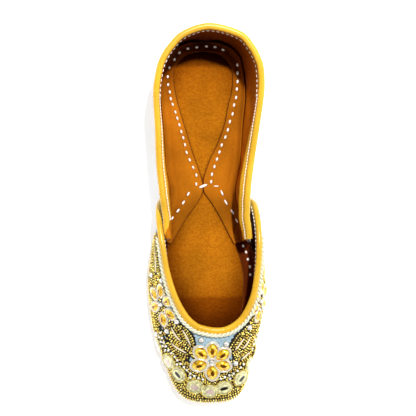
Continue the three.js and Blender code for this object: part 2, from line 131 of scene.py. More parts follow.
# Ribs of the quarter, with the same columns.
QUARTER_RIBS = (
    (0.7208, -0.42, 0.444, 0.6, 0.03, 0.22, -0.02, 0.16),
    (0.739, -0.438, 0.4753, 0.64, 0.032, 0.24, -0.03, 0.16),
    (0.7575, -0.436, 0.5165, 0.68, 0.035, 0.25, -0.04, 0.16),
    (0.7772, -0.419, 0.5613, 0.73, 0.038, 0.26, -0.045, 0.16),
    (0.8113, -0.445, 0.6407, 0.755, 0.04, 0.27, -0.04, 0.18),
    (0.8515, -0.457, 0.7346, 0.83, 0.045, 0.28, -0.02, 0.22),
    (0.8922, -0.472, 0.8267, 0.905, 0.05, 0.3, 0.012, 0.3),
    (0.919, -0.446, 0.8864, 0.957, 0.055, 0.31, 0.016, 0.31),
    (0.9337, -0.408, 0.9177, 0.975, 0.06, 0.31, 0.02, 0.31),
    (0.9495, -0.342, 0.9478, 0.985, 0.065, 0.32, 0.026, 0.32),
    (0.9688, -0.23, 0.9795, 0.995, 0.07, 0.32, 0.035, 0.32),
    (0.9985, -0.012, 0.9996, 1.0, 0.075, 0.33, 0.04, 0.33),
    (1.0323, 0.246, 0.9802, 0.995, 0.07, 0.32, 0.035, 0.32),
    (1.051, 0.354, 0.9478, 0.985, 0.065, 0.32, 0.026, 0.32),
    (1.0663, 0.416, 0.9136, 0.975, 0.06, 0.31, 0.02, 0.31),
    (1.081, 0.441, 0.8848, 0.957, 0.055, 0.31, 0.016, 0.31),
    (1.1077, 0.447, 0.8267, 0.905, 0.05, 0.3, 0.012, 0.3),
    (1.147, 0.41, 0.7346, 0.83, 0.045, 0.28, -0.02, 0.22),
    (1.1888, 0.369, 0.6407, 0.755, 0.04, 0.27, -0.04, 0.18),
    (1.2228, 0.345, 0.5613, 0.73, 0.038, 0.26, -0.045, 0.16),
    (1.2432, 0.382, 0.5165, 0.68, 0.035, 0.25, -0.04, 0.16),
    (1.2622, 0.412, 0.4753, 0.64, 0.032, 0.24, -0.03, 0.16),
    (1.2807, 0.424, 0.444, 0.6, 0.03, 0.22, -0.02, 0.16),
)

# Inner edge of the lining flaps: along, lateral, medial and slant.
LINING_FLAP_EDGE = (
    (0.963, 0.02, -0.03, 0),
    (0.957, 0.145, 0.1, 0),
    (0.945, 0.215, 0.165, 0),
    (0.925, 0.273, 0.215, 0),
    (0.9086, 0.3, 0.235, 0),
    (0.8835, 0.303, 0.24, 0),
    (0.8481, 0.286, 0.229, 0),
    (0.8128, 0.26, 0.199, 0),
    (0.7667, 0.214, 0.171, 0),
    (0.7239, 0.172, 0.125, 0),
    (0.6852, 0.133, 0.07, 0),
    (0.6568, 0.099, 0.025, 0),
    (0.6, 0.037, -0.033, 0),
    (0.5733, 0.033, -0.023, 0),
    (0.5428, 0.08, 0.045, 0),
    (0.5021, 0.178, 0.127, 0),
    (0.468, 0.245, 0.184, 0),
    (0.427, 0.323, 0.254, 0.0075),
)

# Inner edge of the vamp's turned-in margin, with the same columns.
VAMP_FLAP_EDGE = (
    (0.4245, 0.345, 0.27, 0.0075),
    (0.386, 0.375, 0.313, 0),
    (0.3465, 0.388, 0.341, 0),
    (0.3235, 0.391, 0.347, 0),
    (0.26, 0.365, 0.335, 0),
    (0.19, 0.31, 0.29, 0),
    (0.12, 0.235, 0.235, 0),
)


# Beadwork on the vamp: share of the way round it from the inner wing, and millimetres up its face.
TOE_FLOWER = (0.5083, 35.9)
TOE_PETALS = ((0.5105, 44.0), (0.4715, 40.8), (0.471, 33.3), (0.504, 28.6), (0.5435, 33.0), (0.546, 41.2))
SIDE_FLOWER = (0.681, 20.3)
SIDE_PETALS = ((0.7083, 22.3), (0.6892, 27.2), (0.6625, 26.4), (0.6565, 19.8), (0.6775, 14.4), (0.699, 15.4))
CRYSTALS = (
    (0.5575, 48.7), (0.4558, 47.3), (0.645, 30.1), (0.6375, 20.1), (0.4408, 30.0), (0.363, 25.5),
    (0.7308, 25.2), (0.738, 13.0), (0.71, 29.6), (0.29, 24.0), (0.262, 13.0), (0.64, 9.5), (0.36, 9.5),
)

# Small mirrors: share, up, turn in degrees, and 1 for a dark middle; each middle's colour is a painted
# reflection.
MIRRORS = (
    (0.627, 6.4, 0, 0),
    (0.6005, 11.4, 20, 0),
    (0.5725, 16.2, 10, 1),
    (0.5415, 17.2, 0, 0),
    (0.5058, 14.8, 0, 0),
    (0.4692, 16.8, 5, 1),
    (0.4375, 17.2, -10, 1),
    (0.4065, 11.6, 0, 0),
    (0.38, 6.4, 0, 0),
)

# Leaves: spots of the vein, of the upper row and of the lower row.
LEAVES = (
    (
        ((0.6233, 32.9), (0.6092, 34.3), (0.5942, 35.7), (0.58, 37.0)),
        ((0.6333, 32.0), (0.6208, 35.3), (0.6025, 38.0), (0.5833, 40.2), (0.5675, 40.5)),
        ((0.6283, 30.0), (0.6142, 31.1), (0.5983, 32.6), (0.58, 35.8), (0.5667, 38.5)),
    ),
    (
        ((0.64, 24.8), (0.63, 25.4), (0.6192, 26.7), (0.6083, 28.8)),
        ((0.6417, 26.8), (0.6325, 28.9), (0.6183, 29.9), (0.6042, 31.4), (0.5867, 33.8)),
        ((0.6467, 21.4), (0.6358, 21.9), (0.625, 23.1), (0.6108, 25.9), (0.595, 29.8), (0.5808, 34.0)),
    ),
    (
        ((0.6175, 20.6), (0.6067, 23.2), (0.5942, 26.7), (0.5792, 31.2)),
        ((0.6275, 18.5), (0.6183, 22.6), (0.6042, 26.4), (0.5858, 31.2), (0.5667, 36.6)),
        ((0.6233, 16.6), (0.6133, 18.6), (0.5992, 21.8), (0.5842, 26.0), (0.5692, 31.2)),
    ),
    (
        ((0.4342, 37.7), (0.415, 33.5), (0.3917, 28.8)),
        ((0.4475, 41.7), (0.4375, 43.0), (0.4133, 38.8), (0.3833, 31.6), (0.365, 28.4)),
        ((0.44, 36.0), (0.4242, 32.4), (0.4017, 27.6), (0.3817, 25.2), (0.3683, 25.0)),
    ),
    (
        ((0.4108, 28.2), (0.3942, 24.2), (0.3742, 21.6)),
        ((0.4242, 31.0), (0.4017, 27.2), (0.3817, 24.8), (0.3633, 23.2)),
        ((0.4192, 27.6), (0.4042, 23.4), (0.3842, 19.8), (0.3642, 18.6)),
    ),
    (
        ((0.425, 26.4), (0.4092, 21.6), (0.3942, 17.0)),
        ((0.4342, 30.4), (0.4192, 26.6), (0.4042, 22.0), (0.3842, 18.0)),
        ((0.4308, 26.2), (0.4142, 20.0), (0.3992, 15.6), (0.3842, 13.8)),
    ),
    (
        ((0.82, 19.0), (0.79, 19.5), (0.7625, 19.8), (0.745, 19.0)),
        ((0.834, 19.5), (0.81, 23.4), (0.78, 24.4), (0.752, 22.6), (0.735, 19.0)),
        ((0.834, 18.5), (0.81, 15.4), (0.78, 14.8), (0.752, 16.0), (0.735, 18.6)),
    ),
    (
        ((0.8, 8.6), (0.77, 8.8), (0.745, 8.4), (0.722, 7.4)),
        ((0.816, 9.2), (0.79, 12.4), (0.76, 12.8), (0.732, 11.2), (0.712, 7.6)),
        ((0.816, 8.2), (0.79, 5.2), (0.76, 4.6), (0.732, 4.8), (0.712, 7.0)),
    ),
    (
        ((0.18, 19.0), (0.21, 19.5), (0.2375, 19.4), (0.255, 18.4)),
        ((0.166, 19.5), (0.19, 23.2), (0.22, 24.0), (0.248, 22.2), (0.265, 18.4)),
        ((0.166, 18.5), (0.19, 15.4), (0.22, 14.8), (0.248, 15.8), (0.265, 18.0)),
    ),
    (
        ((0.2, 8.6), (0.23, 8.8), (0.255, 8.4), (0.278, 7.4)),
        ((0.184, 9.2), (0.21, 12.4), (0.24, 12.8), (0.268, 11.2), (0.288, 7.6)),
        ((0.184, 8.2), (0.21, 5.2), (0.24, 4.6), (0.268, 4.8), (0.288, 7.0)),
    ),
)

# Rows of beads that cross the toe.
SILVER_ROW = (
    (0.642, 14.4), (0.6275, 14.6), (0.6158, 15.6), (0.6067, 17.4), (0.5942, 19.8), (0.5825, 21.6),
    (0.57, 24.0), (0.5575, 24.9), (0.5375, 24.0), (0.5083, 22.9), (0.49, 23.2), (0.4717, 24.5),
    (0.4492, 25.2), (0.432, 23.6), (0.4175, 20.4), (0.4058, 17.6), (0.393, 15.4), (0.3725, 14.4),
    (0.36, 14.4),
)
INNER_ROW = (
    (0.5792, 24.6), (0.5692, 27.2), (0.5542, 28.2), (0.5408, 26.9), (0.5208, 25.2), (0.5017, 24.4),
    (0.48, 26.2), (0.4592, 27.6), (0.4433, 27.6), (0.43, 25.4),
)
OUTER_ROW = (
    (0.57, 21.4), (0.5575, 22.7), (0.5375, 21.9), (0.5083, 20.8), (0.49, 21.0), (0.4717, 22.3),
    (0.4492, 22.9), (0.436, 21.4),
)

# Patches of bare cloth: share, up and radius.
BARE_PATCHES = (
    (0.629, 17.6, 2.2), (0.5655, 31.6, 2.4), (0.4483, 36.6, 2.2), (0.6442, 16.4, 1.6), (0.5275, 38.0, 1.2),
)

# Share of the way round, and how far below the throat's edge the beads start there.
BARE_BAND = (
    (0.0, 60.0), (0.155, 40.0), (0.165, 21.0), (0.185, 9.0), (0.2, 7.2), (0.3, 6.9), (0.36, 7.4),
    (0.41, 9.8), (0.43, 12.5), (0.45, 15.5), (0.47, 16.0), (0.49, 13.0), (0.51, 12.5), (0.53, 14.5),
    (0.55, 17.0), (0.57, 13.0), (0.59, 9.8), (0.64, 7.4), (0.7, 6.9), (0.79, 7.0), (0.802, 9.0),
    (0.822, 21.0), (0.845, 40.0), (1.0, 60.0),
)

# White stitches of the flaps in millimetres: thickness, then both ends across and along the shoe.
STITCHES = (
    (1.5, (
        (-26.0, 88.9, -26.0, 90.5), (-26.3, 94.2, -26.1, 95.8), (-25.4, 100.5, -24.8, 101.9),
        (-22.1, 106.0, -21.3, 107.4), (-18.9, 110.8, -17.7, 111.8), (-13.4, 113.9, -11.8, 114.3),
        (-7.4, 115.0, -5.8, 115.2), (-0.9, 115.8, 0.7, 115.8), (4.9, 115.6, 6.5, 115.2),
        (10.3, 113.8, 11.9, 113.2),
    )),
    (1.6, (
        (21.0, 104.6, 21.0, 102.4), (21.0, 99.0, 21.0, 96.8), (21.1, 93.3, 20.9, 91.1),
        (20.6, 88.1, 20.4, 85.9), (20.2, 82.4, 19.8, 80.2), (18.8, 77.3, 18.4, 75.1),
        (17.9, 71.3, 17.3, 69.1), (16.0, 66.1, 15.4, 63.9), (14.7, 60.5, 14.1, 58.3),
        (13.1, 55.5, 12.3, 53.5), (10.6, 50.1, 9.8, 48.1), (9.0, 45.4, 8.4, 43.4),
        (7.5, 40.7, 6.7, 38.7), (5.7, 35.6, 5.1, 33.6), (3.9, 30.5, 3.5, 28.3), (3.3, 25.5, 3.1, 23.3),
    )),
    (1.4, (
        (-25.1, 85.8, -24.7, 83.8), (-24.4, 81.2, -24.0, 79.2), (-23.2, 77.3, -22.6, 75.5),
        (-21.4, 72.1, -20.8, 70.3), (-20.1, 68.1, -19.5, 66.1), (-18.7, 63.7, -18.1, 61.7),
        (-17.4, 59.1, -16.8, 57.1), (-16.1, 55.0, -15.5, 53.0), (-14.8, 50.3, -14.4, 48.3),
        (-13.8, 45.1, -13.2, 43.1), (-11.8, 40.0, -11.0, 38.2), (-9.4, 34.9, -8.6, 33.1),
        (-7.1, 29.9, -6.7, 27.9), (-6.9, 23.8, -6.9, 21.8),
    )),
    (1.3, (
        (9.9, 18.6, 11.3, 15.2), (12.4, 12.1, 14.2, 8.9), (17.0, 5.4, 18.8, 2.4),
        (20.0, -0.7, 22.0, -3.7), (24.5, -6.8, 26.7, -9.6),
    )),
    (1.4, (
        (-11.6, 17.3, -13.0, 14.9), (-14.9, 11.5, -16.3, 9.1), (-18.4, 5.9, -20.0, 3.7),
        (-22.4, 0.6, -24.2, -1.6),
    )),
    (1.6, (
        (25.1, -18.6, 25.7, -20.0), (26.9, -22.7, 27.5, -24.3), (28.3, -27.6, 28.7, -29.2),
        (29.8, -32.7, 30.0, -34.3), (30.1, -38.0, 30.1, -39.6),
    )),
    (1.9, ((-4.9, 20.4, 0.5, 22.5),)),
    (0.9, ((5.2, 21.4, 8.3, 21.4),)),
    (1.5, ((-26.3, -4.8, -28.8, -11.1),)),
)

# Place along the shoe where the lining's flaps end and the vamp's begin.
LINING_FLAP_FRONT = -17.0


class Side(Enum):
    """The two sides of a right shoe."""

    MEDIAL = 1
    LATERAL = -1


def ease(value: Array, start: float, end: float) -> Array:
    """Returns shares that ease from 0 at the start to 1 at the end."""
    t = np.clip((np.asarray(value, float) - start) / (end - start), 0.0, 1.0)
    return t * t * (3.0 - 2.0 * t)


def unit(vectors: Array) -> Array:
    """Returns the vectors at length 1."""
    return vectors / np.maximum(np.linalg.norm(vectors, axis=-1, keepdims=True), 1e-9)


def walked_along(line: Array) -> Array:
    """Returns the length from the start of a line to each of its points."""
    steps = np.linalg.norm(np.diff(line, axis=0), axis=1)
    return np.concatenate([[0.0], np.cumsum(steps)])


def crowded(even: Array) -> Array:
    """Moves even shares closer together at both ends, where the wings' edges turn down."""
    return even - CROWDING * np.sin(2 * np.pi * even) / (2 * np.pi)


def row_between(rows: Array, share: Array) -> Array:
    """Reads a table between its rows, along a smooth curve through them.

    Args:
        rows: the table, one row a line.
        share: shares of the way through the table.

    Returns:
        One row for each share.
    """
    place = np.clip(share, 0.0, 1.0) * (len(rows) - 1)
    first = np.minimum(np.floor(place).astype(int), len(rows) - 2)
    t = (place - first)[..., None]
    last = len(rows) - 1
    a, b, c, d = (rows[np.clip(first + k, 0, last)] for k in (-1, 0, 1, 2))
    pull = (c - a) * t + (2 * a - 5 * b + 4 * c - d) * t**2 + (3 * b - a - 3 * c + d) * t**3
    return b + pull / 2


@dataclass(frozen=True)
class ShoeForm:
    """Named sizes of the shoe in millimetres and shares of its length, as in the part's source."""

    length: float = 243.0
    ball_width: float = 73.7
    heel_height: float = 57.5
    wing_height: float = 37.0
    quarter_wall: float = 2.2
    vamp_wall: float = 2.0
    edge_wall: float = 1.3
    skive: float = 8.0
    wing_gap: float = 0.8
    seam: float = 0.3
    floor_gap: float = 0.6
    fold_gap: float = 0.38
    binding_leather: float = 0.85
    outer_leg: float = 3.0
    collar_inner_leg: float = 6.0
    throat_inner_leg: float = 3.6
    cord_diameter: float = 2.2
    sole_thickness: float = 4.5
    heel_step: float = 4.0
    toe_spring: float = 5.0
    insole_thickness: float = 2.0
    lining_flap: float = 1.3
    vamp_flap: float = 0.8
    spring_start: float = 0.17
    arch_start: float = 0.42
    heel_breast: float = 0.752
    wing_end: float = 0.57
    tuck_run: float = 0.08
    rim_tuck_end: float = 0.49
    wall_step_start: float = 0.394
    wall_step_end: float = 0.424
    cord_start: float = 0.175
    leg_room: float = 0.38
    fan_reach: float = 0.25

    def along_to_y(self, along: Array) -> Array:
        """Turns shares of the length from the toe into places along the shoe."""
        return (np.asarray(along, float) - 0.5) * self.length

    def y_to_along(self, y: Array) -> Array:
        """Turns places along the shoe into shares of the length from the toe."""
        return np.asarray(y, float) / self.length + 0.5

    def seat(self, along: Array) -> Array:
        """Shapes the sole's top face, with toe spring and a low heel.

        Args:
            along: shares of the length from the toe.

        Returns:
            The height at each.
        """
        spring = np.maximum(0.0, (self.spring_start - along) / self.spring_start)
        heel = self.heel_step * ease(along, self.arch_start, self.heel_breast)
        return self.sole_thickness + self.toe_spring * spring**2 + heel

    def tread(self, along: Array) -> Array:
        """Returns the height of the sole's underside, flat at the ball and at the heel."""
        return np.where(along > self.heel_breast, 0.0, self.seat(along) - self.sole_thickness)

    def foot_tuck(self, along: Array) -> Array:
        """Returns how far the quarter's foot is tucked in behind the wing, 0 to 1."""
        return 1.0 - ease(along, self.wing_end, self.wing_end + self.tuck_run)

    @property
    def foot_tuck_depth(self) -> float:
        """Distance that the quarter's foot moves in behind the wing."""
        return self.vamp_wall + self.wing_gap

    @property
    def rim_tuck_depth(self) -> float:
        """Distance that the quarter's edge moves in behind the wing's binding."""
        return self.edge_wall + 2 * self.binding_leather + 3 * self.fold_gap

    def inside_of(self, along: Array) -> Array:
        """Follows the inside of the walls.

        Args:
            along: shares of the length from the toe.

        Returns:
            Distance from the footprint at each.
        """
        rear = self.quarter_wall + self.foot_tuck_depth * self.foot_tuck(along)
        step = ease(along, self.wall_step_start, self.wall_step_end)
        return self.floor_gap + self.vamp_wall + (rear - self.vamp_wall) * step

    def insole_bottom(self, along: Array) -> Array:
        """Returns the height of the insole's underside."""
        return self.seat(along) + self.seam

    def flap_bottom(self, along: Array) -> Array:
        """Returns the height of the underside of the turned-in margins."""
        return self.insole_bottom(along) + self.insole_thickness + self.seam


@dataclass
class Footprint:
    """Closed curve where the upper meets the sole, from the heel by the inner side round the toe."""

    form: ShoeForm
    samples: int = 6400

    def __post_init__(self) -> None:
        """Samples the curve."""
        form = self.form
        medial = [(row[0], row[2]) for row in reversed(FOOTPRINT)]
        lateral = [(row[0], -row[1]) for row in FOOTPRINT]
        spots = np.array([HEEL_BACK, *medial, TOE_TIP, *lateral])
        points = np.column_stack([spots[:, 1] * form.ball_width, form.along_to_y(spots[:, 0])])
        self.points = self._closed_curve(points)
        self.lengths = walked_along(np.vstack([self.points, self.points[:1]]))
        tangent = np.roll(self.points, -1, axis=0) - np.roll(self.points, 1, axis=0)
        self.outs = unit(np.column_stack([-tangent[:, 1], tangent[:, 0]]))

    def _closed_curve(self, points: Array) -> Array:
        """Samples the centripetal curve through the points evenly.

        Args:
            points: corners of the closed curve.

        Returns:
            Points on the curve.
        """
        count = len(points)
        place = np.arange(self.samples) * count / self.samples
        first = np.floor(place).astype(int)
        t = (place - first)[:, None]
        p0, p1, p2, p3 = (points[(first + k) % count] for k in (-1, 0, 1, 2))
        gaps = [np.sqrt(np.linalg.norm(b - a, axis=1))[:, None] for a, b in ((p0, p1), (p1, p2), (p2, p3))]
        d0, d1, d2 = gaps
        start = ((p1 - p0) / d0 - (p2 - p0) / (d0 + d1) + (p2 - p1) / d1) * d1
        end = ((p2 - p1) / d1 - (p3 - p1) / (d1 + d2) + (p3 - p2) / d2) * d1
        square = -3 * p1 + 3 * p2 - 2 * start - end
        cube = 2 * p1 - 2 * p2 + start + end
        return p1 + start * t + square * t**2 + cube * t**3

    def at(self, share: Array) -> tuple[Array, Array]:
        """Reads the footprint at shares of its length.

        Args:
            share: shares of the way round, from the heel by the inner side.

        Returns:
            Points of the footprint, and the way out of the shoe at each.
        """
        place = np.mod(share, 1.0) * self.lengths[-1]
        closed = np.vstack([self.points, self.points[:1]])
        outs = np.vstack([self.outs, self.outs[:1]])
        point = np.stack([np.interp(place, self.lengths, closed[:, k]) for k in (0, 1)], axis=-1)
        out = np.stack([np.interp(place, self.lengths, outs[:, k]) for k in (0, 1)], axis=-1)
        return point, unit(out)

    def drawn_in(self, inset: Callable[[Array], Array]) -> "DrawnIn":
        """Returns the footprint drawn in by a distance that depends on the share of the length."""
        along = self.form.y_to_along(self.points[:, 1])
        return DrawnIn(self.points - self.outs * np.asarray(inset(along))[:, None])


class DrawnIn:
    """An outline inside the footprint, read from side to side."""

    def __init__(self, points: Array) -> None:
        """Splits the outline into its two sides.

        Args:
            points: the outline, from the heel by the inner side.
        """
        turned = np.roll(points, -int(np.argmax(points[:, 1])), axis=0)
        toe = int(np.argmin(turned[:, 1]))
        self.toe = float(turned[toe, 1])
        self.heel = float(turned[0, 1])
        self.sides = {Side.MEDIAL: turned[: toe + 1][::-1], Side.LATERAL: turned[toe:]}

    def across(self, side: Side, y: Array) -> Array:
        """Returns where one side of the outline lies at places along the shoe."""
        line = self.sides[side]
        return np.interp(y, np.maximum.accumulate(line[:, 1]), line[:, 0])


@dataclass
class UpperPiece:
    """Outer face of the vamp or the quarter, ruled by the ribs of its table from the sole to its edge."""

    form: ShoeForm
    outline: Footprint
    rows: Array
    height: float
    wall: float
    step: float = 0.004
    samples: int = 24

    @property
    def tucked(self) -> bool:
        """Whether its front ends lie behind the wings, as those of the quarter do."""
        return self.height == self.form.heel_height

    def ribs(self, share: Array) -> Array:
        """Builds the ribs at shares of the way through the table.

        Args:
            share: shares of the way through the table.

        Returns:
            Four control points for each rib.
        """
        form = self.form
        row = row_between(self.rows, share)
        turn, across, along, height, belly, rise, reach, drop = np.moveaxis(row, -1, 0)
        point, out = self.outline.at(turn)
        foot_along = form.y_to_along(point[..., 1])
        edge = np.stack([across * form.ball_width, form.along_to_y(along), height * self.height], axis=-1)
        if self.tucked:
            point = point - out * (form.foot_tuck_depth * form.foot_tuck(foot_along))[..., None]
            tuck = form.rim_tuck_depth * (1 - ease(along, form.rim_tuck_end, form.wing_end))
            edge[..., 0] -= np.sign(edge[..., 0]) * tuck
        foot = np.concatenate([point, (form.seat(foot_along) + form.seam)[..., None]], axis=-1)
        outward = np.concatenate([out, np.zeros_like(out[..., :1])], axis=-1)
        lower = foot + outward * (belly * self.height)[..., None] + UPWARD * (rise * self.height)[..., None]
        to_foot = (foot - edge) * np.array([1.0, 1.0, 0.0])
        fan = ease(reach, 0.0, form.fan_reach)[..., None]
        lean = unit(outward * (1 - fan) + unit(to_foot) * fan)
        upper = edge + lean * (reach * self.height)[..., None] - UPWARD * (drop * self.height)[..., None]
        return np.stack([foot, lower, upper, edge], axis=-2)

    def points(self, share: Array, rise: Array) -> Array:
        """Returns points of the outer face at shares through the table and up the rib."""
        return self._along_rib(self.ribs(share), np.asarray(rise, float))

    @staticmethod
    def _along_rib(rib: Array, rise: Array) -> Array:
        """Reads cubic ribs.

        Args:
            rib: control points of the ribs.
            rise: shares of the way up.

        Returns:
            Points of the ribs.
        """
        t = rise[..., None]
        a, b, c, d = (rib[..., k, :] for k in range(4))
        return a * (1 - t) ** 3 + 3 * b * t * (1 - t) ** 2 + 3 * c * t**2 * (1 - t) + d * t**3

    def face(self, share: Array, rise: Array) -> "Face":
        """Reads the outer face.

        Args:
            share: shares of the way through the table.
            rise: shares of the way up each rib.

        Returns:
            Points and directions of the face.
        """
        share, rise = np.broadcast_arrays(np.asarray(share, float), np.asarray(rise, float))
        rib = self.ribs(share)
        point = self._along_rib(rib, rise)
        low = np.clip(rise, self.step, 1 - self.step)
        up = unit(self._along_rib(rib, low + self.step) - self._along_rib(rib, low - self.step))
        before = self._along_rib(self.ribs(np.maximum(0.0, share - self.step)), rise)
        after = self._along_rib(self.ribs(np.minimum(1.0, share + self.step)), rise)
        onward = unit(after - before)
        return Face(point, unit(np.cross(up, onward)), up, onward, self.length_left(rib, rise))

    def length_left(self, rib: Array, rise: Array) -> Array:
        """Measures the length from shares of the way up the ribs to their edge.

        Args:
            rib: control points of the ribs.
            rise: shares of the way up.

        Returns:
            One length for each rib.
        """
        k = np.arange(self.samples + 1) / self.samples
        places = rise[..., None] + (1 - rise[..., None]) * k
        points = self._along_rib(rib[..., None, :, :], places)
        return np.linalg.norm(np.diff(points, axis=-2), axis=-1).sum(axis=-1)

    def rise_below_edge(self, share: Array, length: Array) -> Array:
        """Finds the share of the way up that lies a length below the edge.

        Args:
            share: shares of the way through the table.
            length: lengths below the edge.

        Returns:
            One share for each rib.
        """
        share, length = np.broadcast_arrays(np.asarray(share, float), np.asarray(length, float))
        rib = self.ribs(share)
        low = np.zeros(share.shape)
        high = np.ones(share.shape)
        for _ in range(self.samples):
            middle = (low + high) / 2
            longer = self.length_left(rib, middle) > length
            low = np.where(longer, middle, low)
            high = np.where(longer, high, middle)
        return high

    def wall_at(self, to_edge: Array) -> Array:
        """Returns the thickness of the wall, which thins towards its edge."""
        edge = self.form.edge_wall
        return edge + (self.wall - edge) * ease(to_edge, 0.0, self.form.skive)


@dataclass(frozen=True)
class Face:
    """Points of an outer face, the ways out, up and onward there, and the length left to the edge."""

    point: Array
    out: Array
    up: Array
    onward: Array
    to_edge: Array

    def lifted(self, lift: Array | float) -> Array:
        """Returns the points moved out of the face by a distance."""
        return self.point + self.out * np.asarray(lift, float)[..., None]

    def chosen(self, keep: Array) -> "Face":
        """Returns the face at the places to keep."""
        return Face(*(values[keep] for values in vars(self).values()))


FORM = ShoeForm()
OUTLINE = Footprint(FORM)

# Place along the shoe behind which the collar's inner leg shows as lining leather.
GOLD_FACING_END = 60.0


def world_shift() -> Array:
    """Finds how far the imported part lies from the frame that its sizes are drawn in.

    Returns:
        The way there in metres.
    """
    low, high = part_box("outsole")
    middle = (np.array(low) + np.array(high)) / 2
    drawn = (OUTLINE.points.min(axis=0) + OUTLINE.points.max(axis=0)) / 2 * MM
    return np.array([middle[0] - drawn[0], middle[1] - drawn[1], 0.0])


WORLD_SHIFT = world_shift()


class Slot(Enum):
    """Names of material slots."""

    SOLE = "sole_leather"
    LINING = "lining_leather"
    SILK = "silk_upper"
    GOLD = "gold_binding"
    CORD = "cream_cord"


@dataclass(frozen=True)
class Band:
    """A stretch along the shoe in millimetres from its middle, with its shades from end to end."""

    start: float
    end: float
    stops: Stops


class Paint:
    """A node material under construction."""

    def __init__(self, name: str, **values: float | Triple) -> None:
        """Starts a material.

        Args:
            name: name of the material.
            values: sockets of the shader, with _ for a space.
        """
        self.material = bpy.data.materials.new(name)
        self.material.use_nodes = True
        self.nodes = self.material.node_tree.nodes
        self.links = self.material.node_tree.links
        self.shader = self.nodes["Principled BSDF"]
        self.place = self.nodes.new("ShaderNodeTexCoord").outputs["Object"]
        for key, value in values.items():
            socket = self.shader.inputs[key.replace("_", " ")]
            socket.default_value = (*value, 1.0) if isinstance(value, tuple) else value

    def node(self, kind: str, values: dict[str, float | Triple], wires: dict[str, Socket]) -> Node:
        """Adds a node.

        Args:
            kind: what kind of node.
            values: settings of its sockets.
            wires: what runs into its sockets.

        Returns:
            The node.
        """
        node = self.nodes.new("ShaderNode" + kind)
        for key, value in values.items():
            node.inputs[key].default_value = value
        for key, source in wires.items():
            self.links.new(source, node.inputs[key])
        return node

    def noise(self, size: float, detail: float = 3.0, stretch: Triple = (1.0, 1.0, 1.0)) -> Socket:
        """Makes a cloudy pattern.

        Args:
            size: width of its clouds in millimetres.
            detail: number of finer layers.
            stretch: how much finer the pattern is along each axis.

        Returns:
            The pattern, 0 to 1.
        """
        place = self.node("Mapping", {"Scale": stretch}, {"Vector": self.place}).outputs["Vector"]
        values = {"Scale": 1 / (size * MM), "Detail": detail}
        return self.node("TexNoise", values, {"Vector": place}).outputs["Fac"]

    def cells(self, size: float) -> Socket:
        """Returns a pattern of cells, as in the grain of leather, by their width in millimetres."""
        node = self.node("TexVoronoi", {"Scale": 1 / (size * MM)}, {"Vector": self.place})
        return node.outputs["Distance"]

    def ramp(self, source: Socket, stops: Stops) -> Socket:
        """Turns a pattern into colours.

        Args:
            source: the pattern.
            stops: place and colour of each stop.

        Returns:
            The colour.
        """
        node = self.node("ValToRGB", {}, {"Fac": source})
        elements = node.color_ramp.elements
        while len(elements) < len(stops):
            elements.new(0.5)
        for element, (at, colour) in zip(elements, stops):
            element.position = at
            element.color = (*colour, 1.0)
        return node.outputs["Color"]

    def multiplied(self, first: Socket, second: Socket) -> Socket:
        """Darkens one colour by another.

        Args:
            first: colour to darken.
            second: colour to multiply it by.

        Returns:
            The darker colour.
        """
        node = self.node("Mix", {"Factor": 1.0}, {})
        node.data_type = "RGBA"
        node.blend_type = "MULTIPLY"
        self.links.new(first, node.inputs[6])
        self.links.new(second, node.inputs[7])
        return node.outputs[2]

    def band(self, band: Band) -> Socket:
        """Darkens a stretch along the shoe.

        Args:
            band: where it lies and how dark it is.

        Returns:
            A colour to multiply by.
        """
        along = self.node("SeparateXYZ", {}, {"Vector": self.place}).outputs["Y"]
        reach = {"From Min": band.start * MM, "From Max": band.end * MM}
        share = self.node("MapRange", reach, {"Value": along}).outputs["Result"]
        return self.ramp(share, band.stops)

    def corners(self, reach: float, stops: Stops) -> Socket:
        """Darkens by how enclosed a place is, as painted shade.

        Args:
            reach: how far off other surfaces count, in millimetres.
            stops: place and colour of each stop, from a closed corner to open air.

        Returns:
            A colour to multiply by.
        """
        node = self.node("AmbientOcclusion", {"Distance": reach * MM}, {})
        node.samples = 8
        return self.ramp(node.outputs["AO"], stops)

    def colour(self, socket: Socket) -> None:
        """Gives the surface its colour."""
        self.links.new(socket, self.shader.inputs["Base Color"])

    def rough(self, socket: Socket, low: float, high: float) -> None:
        """Varies the roughness with a pattern between two values."""
        node = self.node("MapRange", {"To Min": low, "To Max": high}, {"Value": socket})
        self.links.new(node.outputs["Result"], self.shader.inputs["Roughness"])

    def bump(self, *layers: tuple[Socket, float]) -> None:
        """Raises the surface by patterns.

        Args:
            layers: each pattern with its height in millimetres.
        """
        below = {}
        for source, height in layers:
            node = self.node("Bump", {"Strength": 1.0, "Distance": height * MM}, {"Height": source, **below})
            below = {"Normal": node.outputs["Normal"]}
        self.links.new(below["Normal"], self.shader.inputs["Normal"])


def scaled(colour: Triple, share: float) -> Triple:
    """Returns a colour made lighter or darker."""
    return tuple(min(1.0, c * share) for c in colour)


# Leather darker along the shoe: the insole darker towards the toe and, as painted shade, at the back of the
# heel; the lining, as painted shade, at the back of the heel.
INSOLE_DARK_TOE_AND_HEEL_SHADE = Band(
    -80.0,
    112.0,
    (
        (0.0, (0.3, 0.16, 0.1)),
        (0.129, (0.5, 0.34, 0.25)),
        (0.142, (0.8, 0.7, 0.6)),
        (0.208, WHITE),
        (0.78, WHITE),
        (0.944, (0.86, 0.74, 0.66)),
        (0.958, (0.34, 0.22, 0.18)),
        (1.0, (0.2, 0.12, 0.1)),
    ),
)
# Painted shade on the lining and the lining flaps at the back of the heel.
HEEL_PAINTED_SHADE = Band(76.0, 114.0, ((0.0, WHITE), (0.6, (0.6, 0.5, 0.46)), (1.0, (0.34, 0.25, 0.22))))


